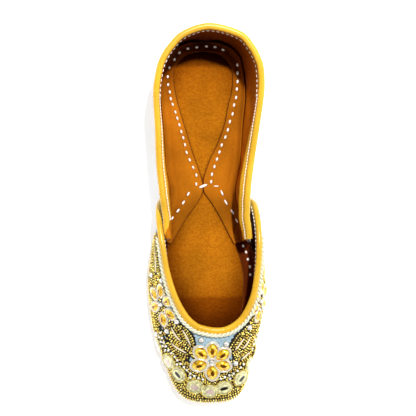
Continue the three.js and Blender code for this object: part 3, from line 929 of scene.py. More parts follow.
@dataclass(frozen=True)
class LeatherFinish:
    """Dyed leather with a fine grain, cloudy dye and small creases, with painted shade along a band and in
    corners when given.
    """

    name: str
    colour: Triple
    roughness: float = 0.5
    grain: float = 0.55
    relief: float = 0.05
    cloud: float = 0.28
    sheen: float = 0.0
    band: Band | None = None
    ripple: float | None = None
    painted_corner_shade: bool = False

    def material(self) -> Material:
        """Builds the material.

        Returns:
            The node material.
        """
        paint = Paint(
            self.name,
            Roughness=self.roughness,
            Coat_Weight=self.sheen,
            Coat_Roughness=0.3,
            Specular_IOR_Level=0.22,
            Specular_Tint=scaled(self.colour, 1.0 / max(self.colour)),
        )
        clouds = paint.noise(26.0, 5.0)
        deep = scaled(self.colour, 1 - self.cloud)
        pale = scaled(self.colour, 1 + self.cloud)
        dye = paint.ramp(clouds, [(0.3, deep), (0.5, self.colour), (0.7, pale)])
        pores = paint.ramp(paint.cells(self.grain), [(0.0, (0.72, 0.68, 0.62)), (0.55, WHITE)])
        creases = paint.noise(3.2, 6.0, (1.0, 1.7, 1.0))
        dye = paint.multiplied(dye, pores)
        # Painted shade at the back of the heel; on the insole also darker towards the toe.
        if self.band is not None:
            dye = paint.multiplied(dye, paint.band(self.band))
        relief = [(paint.cells(self.grain), self.relief), (creases, self.relief * 3)]
        if self.ripple is not None:
            ridges = paint.noise(self.ripple, 1.0, (0.85, 1.15, 1.0))
            dye = paint.multiplied(dye, paint.ramp(ridges, [(0.42, (0.84, 0.77, 0.68)), (0.56, WHITE)]))
            relief.append((ridges, self.relief * 4.0))
        # Painted shade: darker in enclosed corners, by ambient occlusion.
        if self.painted_corner_shade:
            stops = [(0.3, (0.2, 0.1, 0.06)), (0.52, (0.46, 0.34, 0.28)), (0.8, WHITE)]
            dye = paint.multiplied(dye, paint.corners(30.0, stops))
        paint.colour(dye)
        paint.rough(creases, self.roughness - 0.12, self.roughness + 0.14)
        paint.bump(*relief)
        return paint.material


@dataclass(frozen=True)
class SilkFinish:
    """Raw silk with thick and thin threads both ways."""

    name: str
    colour: Triple
    slub: float = 0.35

    def material(self) -> Material:
        """Builds the material.

        Returns:
            The node material.
        """
        paint = Paint(self.name, Roughness=0.62, Sheen_Weight=0.25, Sheen_Roughness=0.4)
        warp = paint.noise(self.slub, 3.0, (1.0, 0.14, 0.4))
        weft = paint.noise(self.slub, 3.0, (0.14, 1.0, 1.0))
        pale = scaled(self.colour, 1.4)
        deep = scaled(self.colour, 0.62)
        threads = paint.ramp(warp, [(0.3, deep), (0.5, self.colour), (0.68, pale)])
        cross = paint.ramp(weft, [(0.3, (0.7, 0.74, 0.8)), (0.6, WHITE)])
        clouds = paint.ramp(paint.noise(9.0), [(0.3, (0.8, 0.84, 0.86)), (0.65, WHITE)])
        paint.colour(paint.multiplied(paint.multiplied(threads, cross), clouds))
        paint.bump((warp, 0.09), (weft, 0.09))
        return paint.material


@dataclass(frozen=True)
class ThreadFinish:
    """Twisted cotton or silk thread."""

    name: str
    colour: Triple
    fibre: float = 0.22
    sheen: float = 0.3
    # Painted light: how much the thread glows, so that it stays pale in shade.
    painted_glow: float = 0.0

    def material(self) -> Material:
        """Builds the material.

        Returns:
            The node material.
        """
        paint = Paint(
            self.name,
            Roughness=0.7,
            Sheen_Weight=self.sheen,
            Specular_IOR_Level=0.3,
            Emission_Color=self.colour,
            Emission_Strength=self.painted_glow,
        )
        fibres = paint.noise(self.fibre, 2.0)
        paint.colour(paint.ramp(fibres, [(0.3, scaled(self.colour, 0.72)), (0.6, self.colour)]))
        paint.bump((fibres, 0.05))
        return paint.material


@dataclass(frozen=True)
class BeadFinish:
    """Small glass or metal beads, each a little different from the next."""

    name: str
    colour: Triple
    metallic: float = 0.85
    roughness: float = 0.24
    spread: float = 0.45
    brightest: Triple | None = None

    def material(self) -> Material:
        """Builds the material.

        Returns:
            The node material.
        """
        paint = Paint(self.name, Metallic=self.metallic, Roughness=self.roughness, Specular_IOR_Level=0.6)
        tones = paint.noise(1.7, 0.0)
        low = scaled(self.colour, 1 - self.spread)
        high = scaled(self.colour, 1 + self.spread)
        # Some beads are paler, up to the brightest stop: partly their own tone, partly painted highlights.
        stops = [(0.34, low), (0.5, self.colour), (0.6, high), (0.7, self.brightest or high)]
        paint.colour(paint.ramp(tones, stops))
        paint.rough(paint.noise(2.3, 1.0), self.roughness * 0.6, self.roughness * 1.5)
        return paint.material


@dataclass(frozen=True)
class StoneFinish:
    """Cut glass with a foil behind it."""

    name: str
    colour: Triple
    metallic: float = 0.35
    roughness: float = 0.06
    depth: float = 0.35

    def material(self) -> Material:
        """Builds the material.

        Returns:
            The node material.
        """
        paint = Paint(
            self.name,
            Metallic=self.metallic,
            Roughness=self.roughness,
            Coat_Weight=1.0,
            Coat_Roughness=0.03,
        )
        foil = paint.noise(2.2, 1.0)
        low = scaled(self.colour, 1 - self.depth)
        high = scaled(self.colour, 1 + self.depth)
        paint.colour(paint.ramp(foil, [(0.35, low), (0.5, self.colour), (0.65, high)]))
        return paint.material


class Shape:
    """Points in millimetres of the shoe's frame, with faces that each carry a finish."""

    def __init__(self) -> None:
        """Starts with nothing."""
        self.points: list[Array] = []
        self.faces: list[Array] = []
        self.finishes: list[Array] = []
        self.count = 0

    def add(self, points: Array, faces: Array, finish: Array | int = 0) -> "Shape":
        """Adds points and the faces between them.

        Args:
            points: places, one a row.
            faces: corners of each face, all faces with equally many.
            finish: number of the finish of all faces or of each.

        Returns:
            This shape.
        """
        points = np.asarray(points, float).reshape(-1, 3)
        faces = np.asarray(faces, int)
        self.points.append(points)
        self.faces.append(faces + self.count)
        self.finishes.append(np.broadcast_to(np.asarray(finish, int), (len(faces),)))
        self.count += len(points)
        return self

    def sheet(self, grid: Array, finish: Array | int = 0, caps: bool = False) -> "Shape":
        """Adds a grid of points as a surface whose rows close on themselves.

        Args:
            grid: rows of points.
            finish: number of the finish, one for all or one for each place in a row.
            caps: whether the first and the last row are filled.

        Returns:
            This shape.
        """
        rows, columns = grid.shape[:2]
        i, j = np.meshgrid(np.arange(rows - 1), np.arange(columns), indexing="ij")
        after = (j + 1) % columns
        corners = [i * columns + j, i * columns + after, (i + 1) * columns + after, (i + 1) * columns + j]
        faces = np.stack([c.ravel() for c in corners], axis=-1)
        tone = np.broadcast_to(np.asarray(finish, int), (rows - 1, columns)).ravel()
        start = self.count
        self.add(grid, faces, tone)
        if caps:
            pairs = np.arange(columns // 2 - 1)
            cap = np.stack([pairs, columns - 1 - pairs, columns - 2 - pairs, pairs + 1], axis=-1)
            self.faces += [cap + start, cap[:, ::-1] + start + (rows - 1) * columns]
            self.finishes += [np.full(len(cap), int(tone[0]))] * 2
        return self

    def build(self, name: str, materials: Sequence[Material], slot: Slot, flat: bool = False) -> Piece:
        """Makes the piece in the scene.

        Args:
            name: name of the piece.
            materials: its finishes.
            slot: a material slot of its main finish; not used.
            flat: whether its facets show.

        Returns:
            The piece.
        """
        points = np.vstack(self.points) * MM + WORLD_SHIFT
        sizes = np.concatenate([np.full(len(f), f.shape[1]) for f in self.faces])
        corners = np.concatenate([f.ravel() for f in self.faces])
        mesh = bpy.data.meshes.new(name)
        mesh.vertices.add(len(points))
        mesh.vertices.foreach_set("co", points.astype(np.float32).ravel())
        mesh.loops.add(len(corners))
        mesh.loops.foreach_set("vertex_index", corners.astype(np.int32))
        mesh.polygons.add(len(sizes))
        starts = np.concatenate([[0], np.cumsum(sizes)[:-1]])
        mesh.polygons.foreach_set("loop_start", starts.astype(np.int32))
        mesh.polygons.foreach_set("material_index", np.concatenate(self.finishes).astype(np.int32))
        mesh.update(calc_edges=True)
        mesh.validate()
        if not flat:
            mesh.shade_smooth()
        for material in materials:
            mesh.materials.append(material)
        piece = bpy.data.objects.new(name, mesh)
        bpy.context.scene.collection.objects.link(piece)
        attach(piece, BODY)
        return piece


@dataclass
class Strung:
    """Many copies of one small shape, with x along its row, y across it and z out of the face."""

    points: Array
    faces: Array
    finish: Array | int = 0
    shape: Shape = field(default_factory=Shape)

    def add(self, centre: Array, onward: Array, out: Array, size: Array) -> None:
        """Adds copies.

        Args:
            centre: where each copy goes.
            onward: way along the row at each.
            out: way out of the face at each.
            size: size of each along, across and out.
        """
        centre = np.atleast_2d(centre)
        out = unit(np.broadcast_to(out, centre.shape))
        onward = np.broadcast_to(onward, centre.shape)
        onward = unit(onward - out * (onward * out).sum(-1, keepdims=True))
        across = np.cross(out, onward)
        size = np.broadcast_to(np.asarray(size, float), centre.shape)
        axes = np.stack([onward, across, out], axis=1)
        local = self.points[None] * size[:, None]
        points = centre[:, None] + np.einsum("nkc,ncd->nkd", local, axes)
        step = np.arange(len(centre))[:, None, None] * len(self.points)
        faces = (self.faces[None] + step).reshape(-1, self.faces.shape[1])
        tone = np.broadcast_to(np.asarray(self.finish, int), (len(self.faces),))
        self.shape.add(points, faces, np.tile(tone, len(centre)))


def ball(around: int, up: int) -> tuple[Array, Array]:
    """Makes a ball of width 1 whose poles lie along x.

    Args:
        around: number of facets round its axis.
        up: number of rings between its poles.

    Returns:
        Points and three-cornered faces.
    """
    turn = 2 * np.pi * np.arange(around) / around
    rise = np.pi * (np.arange(up) + 1) / (up + 1)
    ring = np.stack(
        [
            np.repeat(-np.cos(rise) / 2, around),
            np.outer(np.sin(rise), np.cos(turn)).ravel() / 2,
            np.outer(np.sin(rise), np.sin(turn)).ravel() / 2,
        ],
        axis=-1,
    )
    points = np.vstack([[-0.5, 0, 0], ring, [0.5, 0, 0]])
    faces = []
    for k in range(around):
        after = (k + 1) % around
        faces.append((0, 1 + after, 1 + k))
        for j in range(up - 1):
            a, b = 1 + j * around + k, 1 + j * around + after
            faces += [(a, b, b + around), (a, b + around, a + around)]
        end = 1 + (up - 1) * around
        faces.append((end + k, end + after, len(points) - 1))
    return points, np.array(faces)


def tube(centre: Array, radius: Array | float, sides: int, stretch: float = 1.0) -> Array:
    """Rings of points round a line.

    Args:
        centre: points of the line.
        radius: radius at each point.
        sides: number of points in a ring.
        stretch: how much wider than high the tube is.

    Returns:
        A grid of points.
    """
    onward = unit(np.gradient(centre, axis=0))
    side = unit(np.cross(onward, UPWARD))
    out = np.cross(side, onward)
    turn = 2 * np.pi * np.arange(sides) / sides
    radius = np.broadcast_to(radius, (len(centre),))[:, None, None]
    ring = side[:, None] * np.cos(turn)[None, :, None] * stretch + out[:, None] * np.sin(turn)[None, :, None]
    return centre[:, None] + ring * radius


def evenly(line: Array, pitch: float) -> Array:
    """Finds places at an even pitch along a line.

    Args:
        line: points of the line.
        pitch: distance between places.

    Returns:
        Fractional numbers of the places among the points.
    """
    lengths = walked_along(line)
    count = max(1, int(round(lengths[-1] / pitch)))
    return np.interp(np.linspace(0, lengths[-1], count + 1), lengths, np.arange(len(line)))


def read_at(values: Array, place: Array) -> Array:
    """Reads rows of values at fractional numbers."""
    numbers = np.arange(len(values))
    return np.stack([np.interp(place, numbers, values[:, k]) for k in range(values.shape[1])], axis=-1)


@dataclass
class Palette:
    """The finishes of the shoe, each built once."""

    sole: LeatherFinish = LeatherFinish("sole_leather", (0.3, 0.14, 0.055), 0.6, 0.8, 0.06, 0.3)
    lining: LeatherFinish = LeatherFinish(
        "lining_leather", (0.66, 0.215, 0.006), 0.55, 0.6, 0.05, 0.3, band=HEEL_PAINTED_SHADE, painted_corner_shade=True
    )
    insole: LeatherFinish = LeatherFinish(
        "insole_leather",
        (0.46, 0.158, 0.006),
        0.5,
        0.7,
        0.07,
        0.26,
        band=INSOLE_DARK_TOE_AND_HEEL_SHADE,
        ripple=1.25,
        painted_corner_shade=True,
    )
    flap: LeatherFinish = LeatherFinish(
        "flap_leather", (0.42, 0.135, 0.006), 0.55, 0.6, 0.06, 0.34, band=HEEL_PAINTED_SHADE, painted_corner_shade=True
    )
    # Very dark: the margins' own darker leather, darkened further as painted shade under the vamp's walls.
    margin: LeatherFinish = LeatherFinish("margin_leather", (0.085, 0.014, 0.002), 0.6, 0.6, 0.06, 0.25)
    edge: LeatherFinish = LeatherFinish("cut_leather_edge", (0.17, 0.05, 0.01), 0.7, 0.5, 0.03, 0.2)
    gold: LeatherFinish = LeatherFinish("gold_binding", (0.73, 0.41, 0.024), 0.4, 0.5, 0.03, 0.16, 0.7)
    silk: SilkFinish = SilkFinish("raw_silk", (0.36, 0.49, 0.56))
    cord: ThreadFinish = ThreadFinish("cream_cord", (0.74, 0.74, 0.57), sheen=0.1)
    # The white thread glows a little: painted light that keeps it pale in shade.
    thread: ThreadFinish = ThreadFinish("white_thread", (0.95, 0.9, 0.82), painted_glow=0.16)
    vein: ThreadFinish = ThreadFinish("leaf_vein_cord", (0.78, 0.68, 0.48), sheen=0.05)
    # Dark ground under the beads: dark thread, and painted shade between the beads.
    ground: ThreadFinish = ThreadFinish("dark_ground_thread", (0.014, 0.01, 0.006), 0.5, 0.0)
    bead: BeadFinish = BeadFinish(
        "antique_gold_bead", (0.92, 0.62, 0.11), 0.72, 0.26, 0.45, brightest=(1.0, 0.88, 0.42)
    )
    silver: BeadFinish = BeadFinish("silver_bead", (0.84, 0.82, 0.74), 0.4, 0.2, 0.14)
    cup: StoneFinish = StoneFinish("pale_cup", (0.8, 0.76, 0.66), 0.5, 0.22, 0.15)
    crystal_cup: StoneFinish = StoneFinish("crystal_cup", (0.36, 0.3, 0.2), 0.5, 0.25, 0.3)
    amber: StoneFinish = StoneFinish("amber_stone", (1.0, 0.52, 0.006), depth=0.25)
    amber_deep: StoneFinish = StoneFinish("amber_stone_middle", (0.2, 0.06, 0.003))
    # Lit and shaded copies of the amber on chosen facets: painted glints and painted shade.
    amber_light: StoneFinish = StoneFinish("amber_stone_lit_facet", (1.0, 0.78, 0.1), depth=0.1)
    amber_dark: StoneFinish = StoneFinish("amber_stone_dark_facet", (0.5, 0.2, 0.004))
    crystal: StoneFinish = StoneFinish("crystal", (0.88, 0.88, 0.85), 0.15, 0.08, 0.2)
    crystal_deep: StoneFinish = StoneFinish("crystal_middle", (0.8, 0.76, 0.72), 0.3, 0.08, 0.3)
    # Mirror middles, dark or pale, are painted reflections; the patchy tone of the mirror cups and rims is
    # partly their own, partly painted glints.
    mirror_cup: StoneFinish = StoneFinish("mirror_cup", (0.62, 0.57, 0.24), 0.2, 0.2, 0.3)
    mirror_rim: StoneFinish = StoneFinish("mirror_rim", (0.74, 0.7, 0.38), 0.1, 0.12, 0.35)
    mirror_step: StoneFinish = StoneFinish("mirror_rim_step", (0.26, 0.23, 0.07), 0.2, 0.12, 0.3)
    mirror_dark: StoneFinish = StoneFinish("mirror_dark_middle", (0.012, 0.016, 0.012), 0.2, 0.05, 0.3)
    mirror_pale: StoneFinish = StoneFinish("mirror_pale_middle", (0.72, 0.55, 0.48), 0.3, 0.08, 0.15)

    def __post_init__(self) -> None:
        """Builds every material."""
        self.made = {name: finish.material() for name, finish in vars(self).items()}

    def __getitem__(self, name: str) -> Material:
        """Returns a material by its short name."""
        return self.made[name]


# Finish number of a step of a cut whose facets each keep their own finish.
FACETS = -1

# Length, width, level, turn and finish of one step of a cut.
Step = tuple[float, float, float, int, int]


@dataclass
class Chart:
    """The outer face of a piece, read by the share of the way round and millimetres up from the sole."""

    piece: UpperPiece
    steps: int = 80

    def measured(self, share: Array) -> tuple[Array, Array]:
        """Measures ribs.

        Args:
            share: shares of the way round.

        Returns:
            Shares of the way up, and the length of each rib up to them.
        """
        rise = np.linspace(0, 1, self.steps + 1)
        points = self.piece.points(share[:, None], np.broadcast_to(rise, (len(share), len(rise))))
        steps = np.linalg.norm(np.diff(points, axis=1), axis=-1)
        return rise, np.concatenate([np.zeros((len(share), 1)), np.cumsum(steps, axis=1)], axis=1)

    def tall(self, share: Array) -> Array:
        """Returns the length of the ribs."""
        return self.measured(np.atleast_1d(share))[1][:, -1]

    def face(self, share: Array, up: Array) -> Face:
        """Reads the face at charted places.

        Args:
            share: shares of the way round.
            up: millimetres up from the sole.

        Returns:
            Points and directions of the face.
        """
        share, up = np.broadcast_arrays(np.atleast_1d(np.asarray(share, float)), np.asarray(up, float))
        rise, lengths = self.measured(share)
        place = np.array([np.interp(u, line, rise) for u, line in zip(up, lengths)])
        return self.piece.face(share, place)

    def curve(self, spots: Sequence[Spot], steps: int = 160) -> Face:
        """Returns the face along a smooth line through charted places."""
        line = row_between(np.array(spots), np.linspace(0, 1, steps + 1))
        return self.face(line[:, 0], line[:, 1])


def stone(tones: Sequence[int], rim: float, tip: float, crown: Sequence[Step]) -> tuple[Array, Array, Array]:
    """Makes a cut stone in its cup, 1 by 1 by 1 wide, with its long side along x.

    Args:
        tones: finish of each facet round it.
        rim: width of the stone inside the cup.
        tip: how much its two ends are drawn out, from 0 for a round stone.
        crown: steps of the cut.

    Returns:
        Points, three-cornered faces, and finish 0 for the cup, those given for the facets and 2 for the top.
    """
    around = len(tones)
    cup = 0.42
    steps = [
        (0.96, 0.96, 0.0, 0, 0),
        (1.0, 1.0, cup * 0.6, 0, 0),
        (0.97, 0.97, cup, 0, 0),
        (rim, rim, cup, 0, 0),
        (rim * 0.98, rim * 0.98, cup * 0.8, 0, 0),
        *crown,
    ]
    rings = []
    for wide, high, level, shift, _ in steps:
        angle = 2 * np.pi * (np.arange(around) + shift / 2) / around
        side = np.sin(angle) * np.abs(np.sin(angle)) ** tip
        rings.append(np.stack([np.cos(angle) * wide / 2, side * high / 2, np.full(around, level)], axis=-1))
    points = np.vstack([*rings, [[0, 0, steps[-1][2] + 0.02]]])
    faces, finish = [], []
    for level in range(len(rings) - 1):
        tone = steps[level + 1][4]
        for k in range(around):
            a, b = level * around + k, level * around + (k + 1) % around
            faces += [(a, b, b + around), (a, b + around, a + around)]
            finish += [tones[k], tones[(k + level) % around]] if tone == FACETS else [tone, tone]
    top = (len(rings) - 1) * around
    for k in range(around):
        faces.append((top + k, top + (k + 1) % around, len(points) - 1))
        finish.append(2)
    return points, np.array(faces), np.array(finish)


@dataclass
class Beadwork:
    """Beads, stones, small mirrors and cord veins sewn on the vamp and round the heel."""

    palette: Palette
    vamp: Chart
    quarter: Chart
    bead: float = 1.31
    pitch: float = 1.74
    row_pitch: float = 1.86
    silver: float = 2.05
    silver_pitch: float = 3.1
    silver_drop: float = 2.5
    sunk: float = 0.1
    ground: float = 2.0
    petal: Triple = (12.4, 9.4, 2.5)
    side_petal: Triple = (10.2, 7.2, 2.3)
    crystal: Triple = (4.1, 4.1, 1.7)
    mirror: Triple = (11.3, 9.8, 2.0)
    vein: float = 0.62
    petal_cord: float = 0.034
    low_start: float = 0.9
    low_top: float = 8.0
    low_pitch: float = 2.2
    heel_rows: int = 6
    heel_drop: float = 5.2
    heel_stone_drop: float = 8.6
    heel_stones: tuple[float, ...] = (0.5, 0.38, 0.62, 0.29, 0.71)
    heel_start: float = 1.2
    scallop: float = 1.2
    scallops: int = 14
    toe_from: float = 0.38
    toe_to: float = 0.62
    mirror_bead: float = 0.95
    mirror_pitch: float = 1.05
    overlap: float = 0.22
    bedding: float = 0.05
    jitter: float = 0.05
    both_wings: float = 0.99
    chance: np.random.Generator = field(default_factory=lambda: np.random.default_rng(SEED))

    def __post_init__(self) -> None:
        """Starts the strings of beads and the settings."""
        points, faces = ball(8, 5)
        names = ("vamp_lateral", "vamp_medial", "vamp_toe", "quarter")
        self.gold = {name: Strung(points, faces) for name in names}
        self.white = Strung(points, faces)
        # Facets round a petal: 1 amber, 3 a painted glint, 4 painted shade.
        cut = (1, 3, 1, 3, 3, 1, 4, 1, 1, 4, 1, 3)
        petal = ((0.59, 0.54, 0.82, 1, FACETS), (0.34, 0.24, 1.0, 0, FACETS))
        self.petals = Strung(*stone(cut, 0.84, 0.4, petal))
        crystal = ((0.64, 0.64, 0.82, 1, 1), (0.5, 0.5, 1.0, 0, 1))
        self.crystals = Strung(*stone((1,) * 10, 0.78, 0.0, crystal))
        steps = ((0.76, 0.74, 0.82, 0, 1), (0.7, 0.68, 0.78, 0, 3))
        self.mirrors = {
            True: Strung(*stone((1,) * 20, 0.9, 0.0, (*steps, (0.48, 0.24, 0.86, 0, 1)))),
            False: Strung(*stone((1,) * 20, 0.9, 0.0, (*steps, (0.5, 0.4, 0.86, 0, 1)))),
        }
        self.veins = Shape()
        self.taken: list[Array] = []
        self.knots: list[Array] = []

    def claim(self, points: Array, radius: float) -> None:
        """Marks places as taken, each with a radius."""
        points = np.atleast_2d(points)
        self.taken.append(np.column_stack([points, np.full(len(points), radius)]))

    def free(self, points: Array, radius: float) -> Array:
        """Looks for room between what is sewn on already.

        Args:
            points: places.
            radius: radius that each needs.

        Returns:
            Whether each place is clear.
        """
        if not self.taken:
            return np.ones(len(points), bool)
        known = np.vstack(self.taken)
        gaps = np.linalg.norm(points[:, None] - known[None, :, :3], axis=-1) - known[None, :, 3] - radius
        return gaps.min(axis=1) > -self.overlap

    def covers(self, points: Array) -> Array:
        """Finds the cloth under beads, where its ground is dark thread with painted shade between the beads.

        Args:
            points: places of the cloth.

        Returns:
            Whether each is covered.
        """
        known = np.vstack(self.knots)
        tree = KDTree(len(known))
        for k, spot in enumerate(known):
            tree.insert(spot, k)
        tree.balance()
        return np.array([tree.find(point)[2] < self.ground for point in points])

    def set_stone(self, setting: Strung, face: Face, way: Array, size: Triple) -> None:
        """Sews stones on.

        Args:
            setting: kind of stone.
            face: the face under them.
            way: direction of their long side.
            size: length, width and height.
        """
        setting.add(face.lifted(self.bedding), way, face.out, size)
        flat = unit(way - face.out * (way * face.out).sum(-1, keepdims=True))
        reach = (size[0] - size[1]) / 2
        for share in (-1.0, 0.0, 1.0):
            self.claim(face.point + flat * (reach * share) + face.out * 0.6, size[1] / 2)

    def loop(self, centre: Array, out: Array, way: Array, size: Triple, radius: float) -> Array:
        """Lays a thin cord round a stone.

        Args:
            centre: middle of the stone.
            out: way out of the face.
            way: direction of its long side.
            size: length, width and height of the stone.
            radius: radius of the cord.

        Returns:
            A grid of points.
        """
        out = unit(out)
        flat = unit(way - out * (way @ out))
        side = np.cross(out, flat)
        turn = np.linspace(0, 2 * np.pi, 41)[:, None]
        reach = [v / 2 + radius * 0.7 for v in size[:2]]
        rise = np.sin(turn)
        line = centre + flat * np.cos(turn) * reach[0] + side * rise * np.abs(rise) ** 0.3 * reach[1]
        self.claim(line + out * 0.5, radius)
        return tube(line + out * (radius + 0.25), radius, 6)

    def flower(self, centre: Spot, petals: Sequence[Spot], size: Triple) -> None:
        """Sews a flower of petals round a crystal.

        Args:
            centre: spot of its crystal.
            petals: spots of its petals.
            size: length, width and height of a petal.
        """
        middle = self.vamp.face(*centre)
        spots = np.array(petals)
        face = self.vamp.face(spots[:, 0], spots[:, 1])
        way = face.point - middle.point
        self.set_stone(self.petals, face, way, size)
        for k in range(len(spots)):
            cord = self.petal_cord * size[1]
            self.veins.sheet(self.loop(face.point[k], face.out[k], way[k], size, cord))
        self.set_stone(self.crystals, middle, middle.onward, tuple(v * 0.8 for v in self.crystal))

    def row(self, face: Face, strung: Strung, size: float, pitch: float, crowd: bool = False) -> None:
        """Sews a row of beads along a line of the face.

        Args:
            face: the face along the line.
            strung: receives the beads.
            size: width of a bead.
            pitch: distance between beads.
            crowd: whether the beads may touch what is there already.
        """
        line = face.lifted(size / 2 - self.sunk)
        place = evenly(line, pitch)
        place = place[:-1] + np.diff(place) * self.chance.uniform(0.0, 1.0)
        centre, out, onward = (read_at(v, place) for v in (line, face.out, np.gradient(line, axis=0)))
        keep = np.ones(len(centre), bool) if crowd else self.free(centre, size / 2)
        centre, out, onward = centre[keep], out[keep], onward[keep]
        if not len(centre):
            return
        jitter = self.chance.normal(0, self.jitter, centre.shape)
        wide = size * self.chance.uniform(0.93, 1.06, len(centre))
        strung.add(centre + jitter, onward, out, np.stack([wide * 0.92, wide, wide], axis=-1))
        self.claim(centre, size / 2)
        self.knots.append(centre)

    def string_for(self, share: float) -> Strung:
        """Finds the string of gold beads for a part of the vamp.

        Args:
            share: share of the way round.

        Returns:
            The string.
        """
        if share < self.toe_from:
            return self.gold["vamp_medial"]
        return self.gold["vamp_lateral"] if share > self.toe_to else self.gold["vamp_toe"]

    def leaf(self, leaf: Sequence[Sequence[Spot]]) -> None:
        """Sews a leaf: a cord vein between two curved rows of gold beads.

        Args:
            leaf: spots of the vein, of the upper row and of the lower row.
        """
        vein, upper, lower = leaf
        strung = self.string_for(vein[len(vein) // 2][0])
        face = self.vamp.curve(vein)
        line = face.lifted(self.vein + 0.35)
        ends = np.sin(np.pi * np.linspace(0.01, 0.99, len(line))) ** 0.5
        self.veins.sheet(tube(line, self.vein * ends, 8), caps=True)
        self.claim(line[::4], self.vein)
        for side in (upper, lower):
            self.row(self.vamp.curve(side), strung, self.bead, self.pitch)
            inner = row_between(np.array(side), np.linspace(0.08, 0.92, 7))
            middle = row_between(np.array(vein), np.linspace(0.0, 1.0, 7))
            self.row(self.vamp.curve(inner * 0.52 + middle * 0.48), strung, self.bead, self.pitch)

    def fill(self) -> None:
        """Fills what is left of the beaded field with rows that follow the sole."""
        for share, up, radius in BARE_PATCHES:
            self.claim(self.vamp.face(share, up).point, radius)
        band = np.array(BARE_BAND)
        shares = np.linspace(0.15, 0.85, 1401)
        top = self.vamp.tall(shares) - np.interp(shares, band[:, 0], band[:, 1])
        low = np.arange(self.low_start, self.low_top, self.low_pitch)
        rows = np.arange(low[-1] + self.low_pitch, top.max(), self.row_pitch)
        between = np.concatenate([rows[:-1] + np.diff(rows) * part for part in (0.5, 0.25, 0.75)])
        for level in np.concatenate([low, rows, between]):
            inside = shares[top > level]
            for run in np.split(inside, np.flatnonzero(np.diff(inside) > 0.001) + 1):
                if len(run) < 4:
                    continue
                face = self.vamp.face(run, level)
                for name, keep in (
                    ("vamp_medial", run < self.toe_from),
                    ("vamp_toe", (run >= self.toe_from) & (run <= self.toe_to)),
                    ("vamp_lateral", run > self.toe_to),
                ):
                    if keep.sum() > 3:
                        self.row(face.chosen(keep), self.gold[name], self.bead, self.pitch)

    def heel(self) -> None:
        """Sews a band of rows round the heel, below the collar binding, and one above the sole."""
        shares = np.linspace(0.2, 0.8, 1201)
        tall = self.quarter.tall(shares)
        gold = self.gold["quarter"]
        for share in self.heel_stones:
            centre = self.quarter.face(share, float(self.quarter.tall(share)[0]) - self.heel_stone_drop)
            self.set_stone(self.crystals, centre, centre.onward, self.crystal)
        for k in range(self.heel_rows):
            wave = self.scallop * np.cos(2 * np.pi * shares * self.scallops) * (k == self.heel_rows - 1)
            face = self.quarter.face(shares, tall - self.heel_drop - k * self.row_pitch + wave)
            self.row(face, gold, self.bead, self.pitch)
        for level in (self.heel_start, self.heel_start + self.row_pitch):
            self.row(self.quarter.face(shares, level), gold, self.bead, self.pitch)

    def sew(self) -> None:
        """Sews everything on, the largest stones first."""
        self.flower(TOE_FLOWER, TOE_PETALS, self.petal)
        self.flower(SIDE_FLOWER, SIDE_PETALS, self.side_petal)
        centre, *petals = [(self.both_wings - share, up) for share, up in (SIDE_FLOWER, *SIDE_PETALS)]
        self.flower(centre, petals, self.side_petal)
        spots = np.array(MIRRORS)
        face = self.vamp.face(spots[:, 0], spots[:, 1])
        across = np.cross(face.out, face.onward)
        tilt = np.radians(spots[:, 2])[:, None]
        way = face.onward * np.cos(tilt) + across * np.sin(tilt)
        for dark in (True, False):
            chosen = (spots[:, 3] == 1) == dark
            self.set_stone(self.mirrors[dark], face.chosen(chosen), way[chosen], self.mirror)
        beside = np.cross(face.out, way)
        for k in range(len(spots)):
            turn = np.linspace(0, 2 * np.pi, 60)[:, None]
            reach = [v / 2 + 0.4 for v in self.mirror[:2]]
            ring = face.point[k] + way[k] * np.cos(turn) * reach[0] + beside[k] * np.sin(turn) * reach[1]
            rim = Face(ring, np.broadcast_to(face.out[k], ring.shape), ring, ring, turn[:, 0])
            strung = self.string_for(spots[k, 0])
            self.row(rim, strung, self.mirror_bead, self.mirror_pitch, crowd=True)
        spots = np.array(CRYSTALS)
        face = self.vamp.face(spots[:, 0], spots[:, 1])
        self.set_stone(self.crystals, face, face.onward, self.crystal)
        for leaf in LEAVES:
            self.leaf(leaf)
        self.row(self.vamp.curve(SILVER_ROW, 400), self.white, self.silver, self.silver_pitch)
        second = [(share, up - self.silver_drop) for share, up in SILVER_ROW]
        self.row(self.vamp.curve(second, 400), self.white, self.silver, self.silver_pitch)
        for line in (INNER_ROW, OUTER_ROW, SILVER_ROW, second):
            self.row(self.vamp.curve(line, 400), self.gold["vamp_toe"], self.bead, self.pitch)
        self.fill()
        self.heel()

    def build(self) -> None:
        """Builds the pieces of what was sewn on."""
        for name, strung in self.gold.items():
            strung.shape.build("gold_beads_" + name, [self.palette["bead"]], Slot.SILK)
        self.white.shape.build("silver_beads", [self.palette["silver"]], Slot.SILK)
        mirror = ("mirror_cup", "mirror_rim", "mirror_{}", "mirror_step")
        stones = (
            ("stone_petals", self.petals, ("cup", "amber", "amber_deep", "amber_light", "amber_dark")),
            ("stone_crystals", self.crystals, ("crystal_cup", "crystal", "crystal_deep")),
            ("dark_mirrors", self.mirrors[True], [word.format("dark") for word in mirror]),
            ("pale_mirrors", self.mirrors[False], [word.format("pale") for word in mirror]),
        )
        for name, strung, finishes in stones:
            strung.shape.build(name, [self.palette[n] for n in finishes], Slot.SILK, flat=True)
        self.veins.build("leaf_veins", [self.palette["vein"]], Slot.SILK)


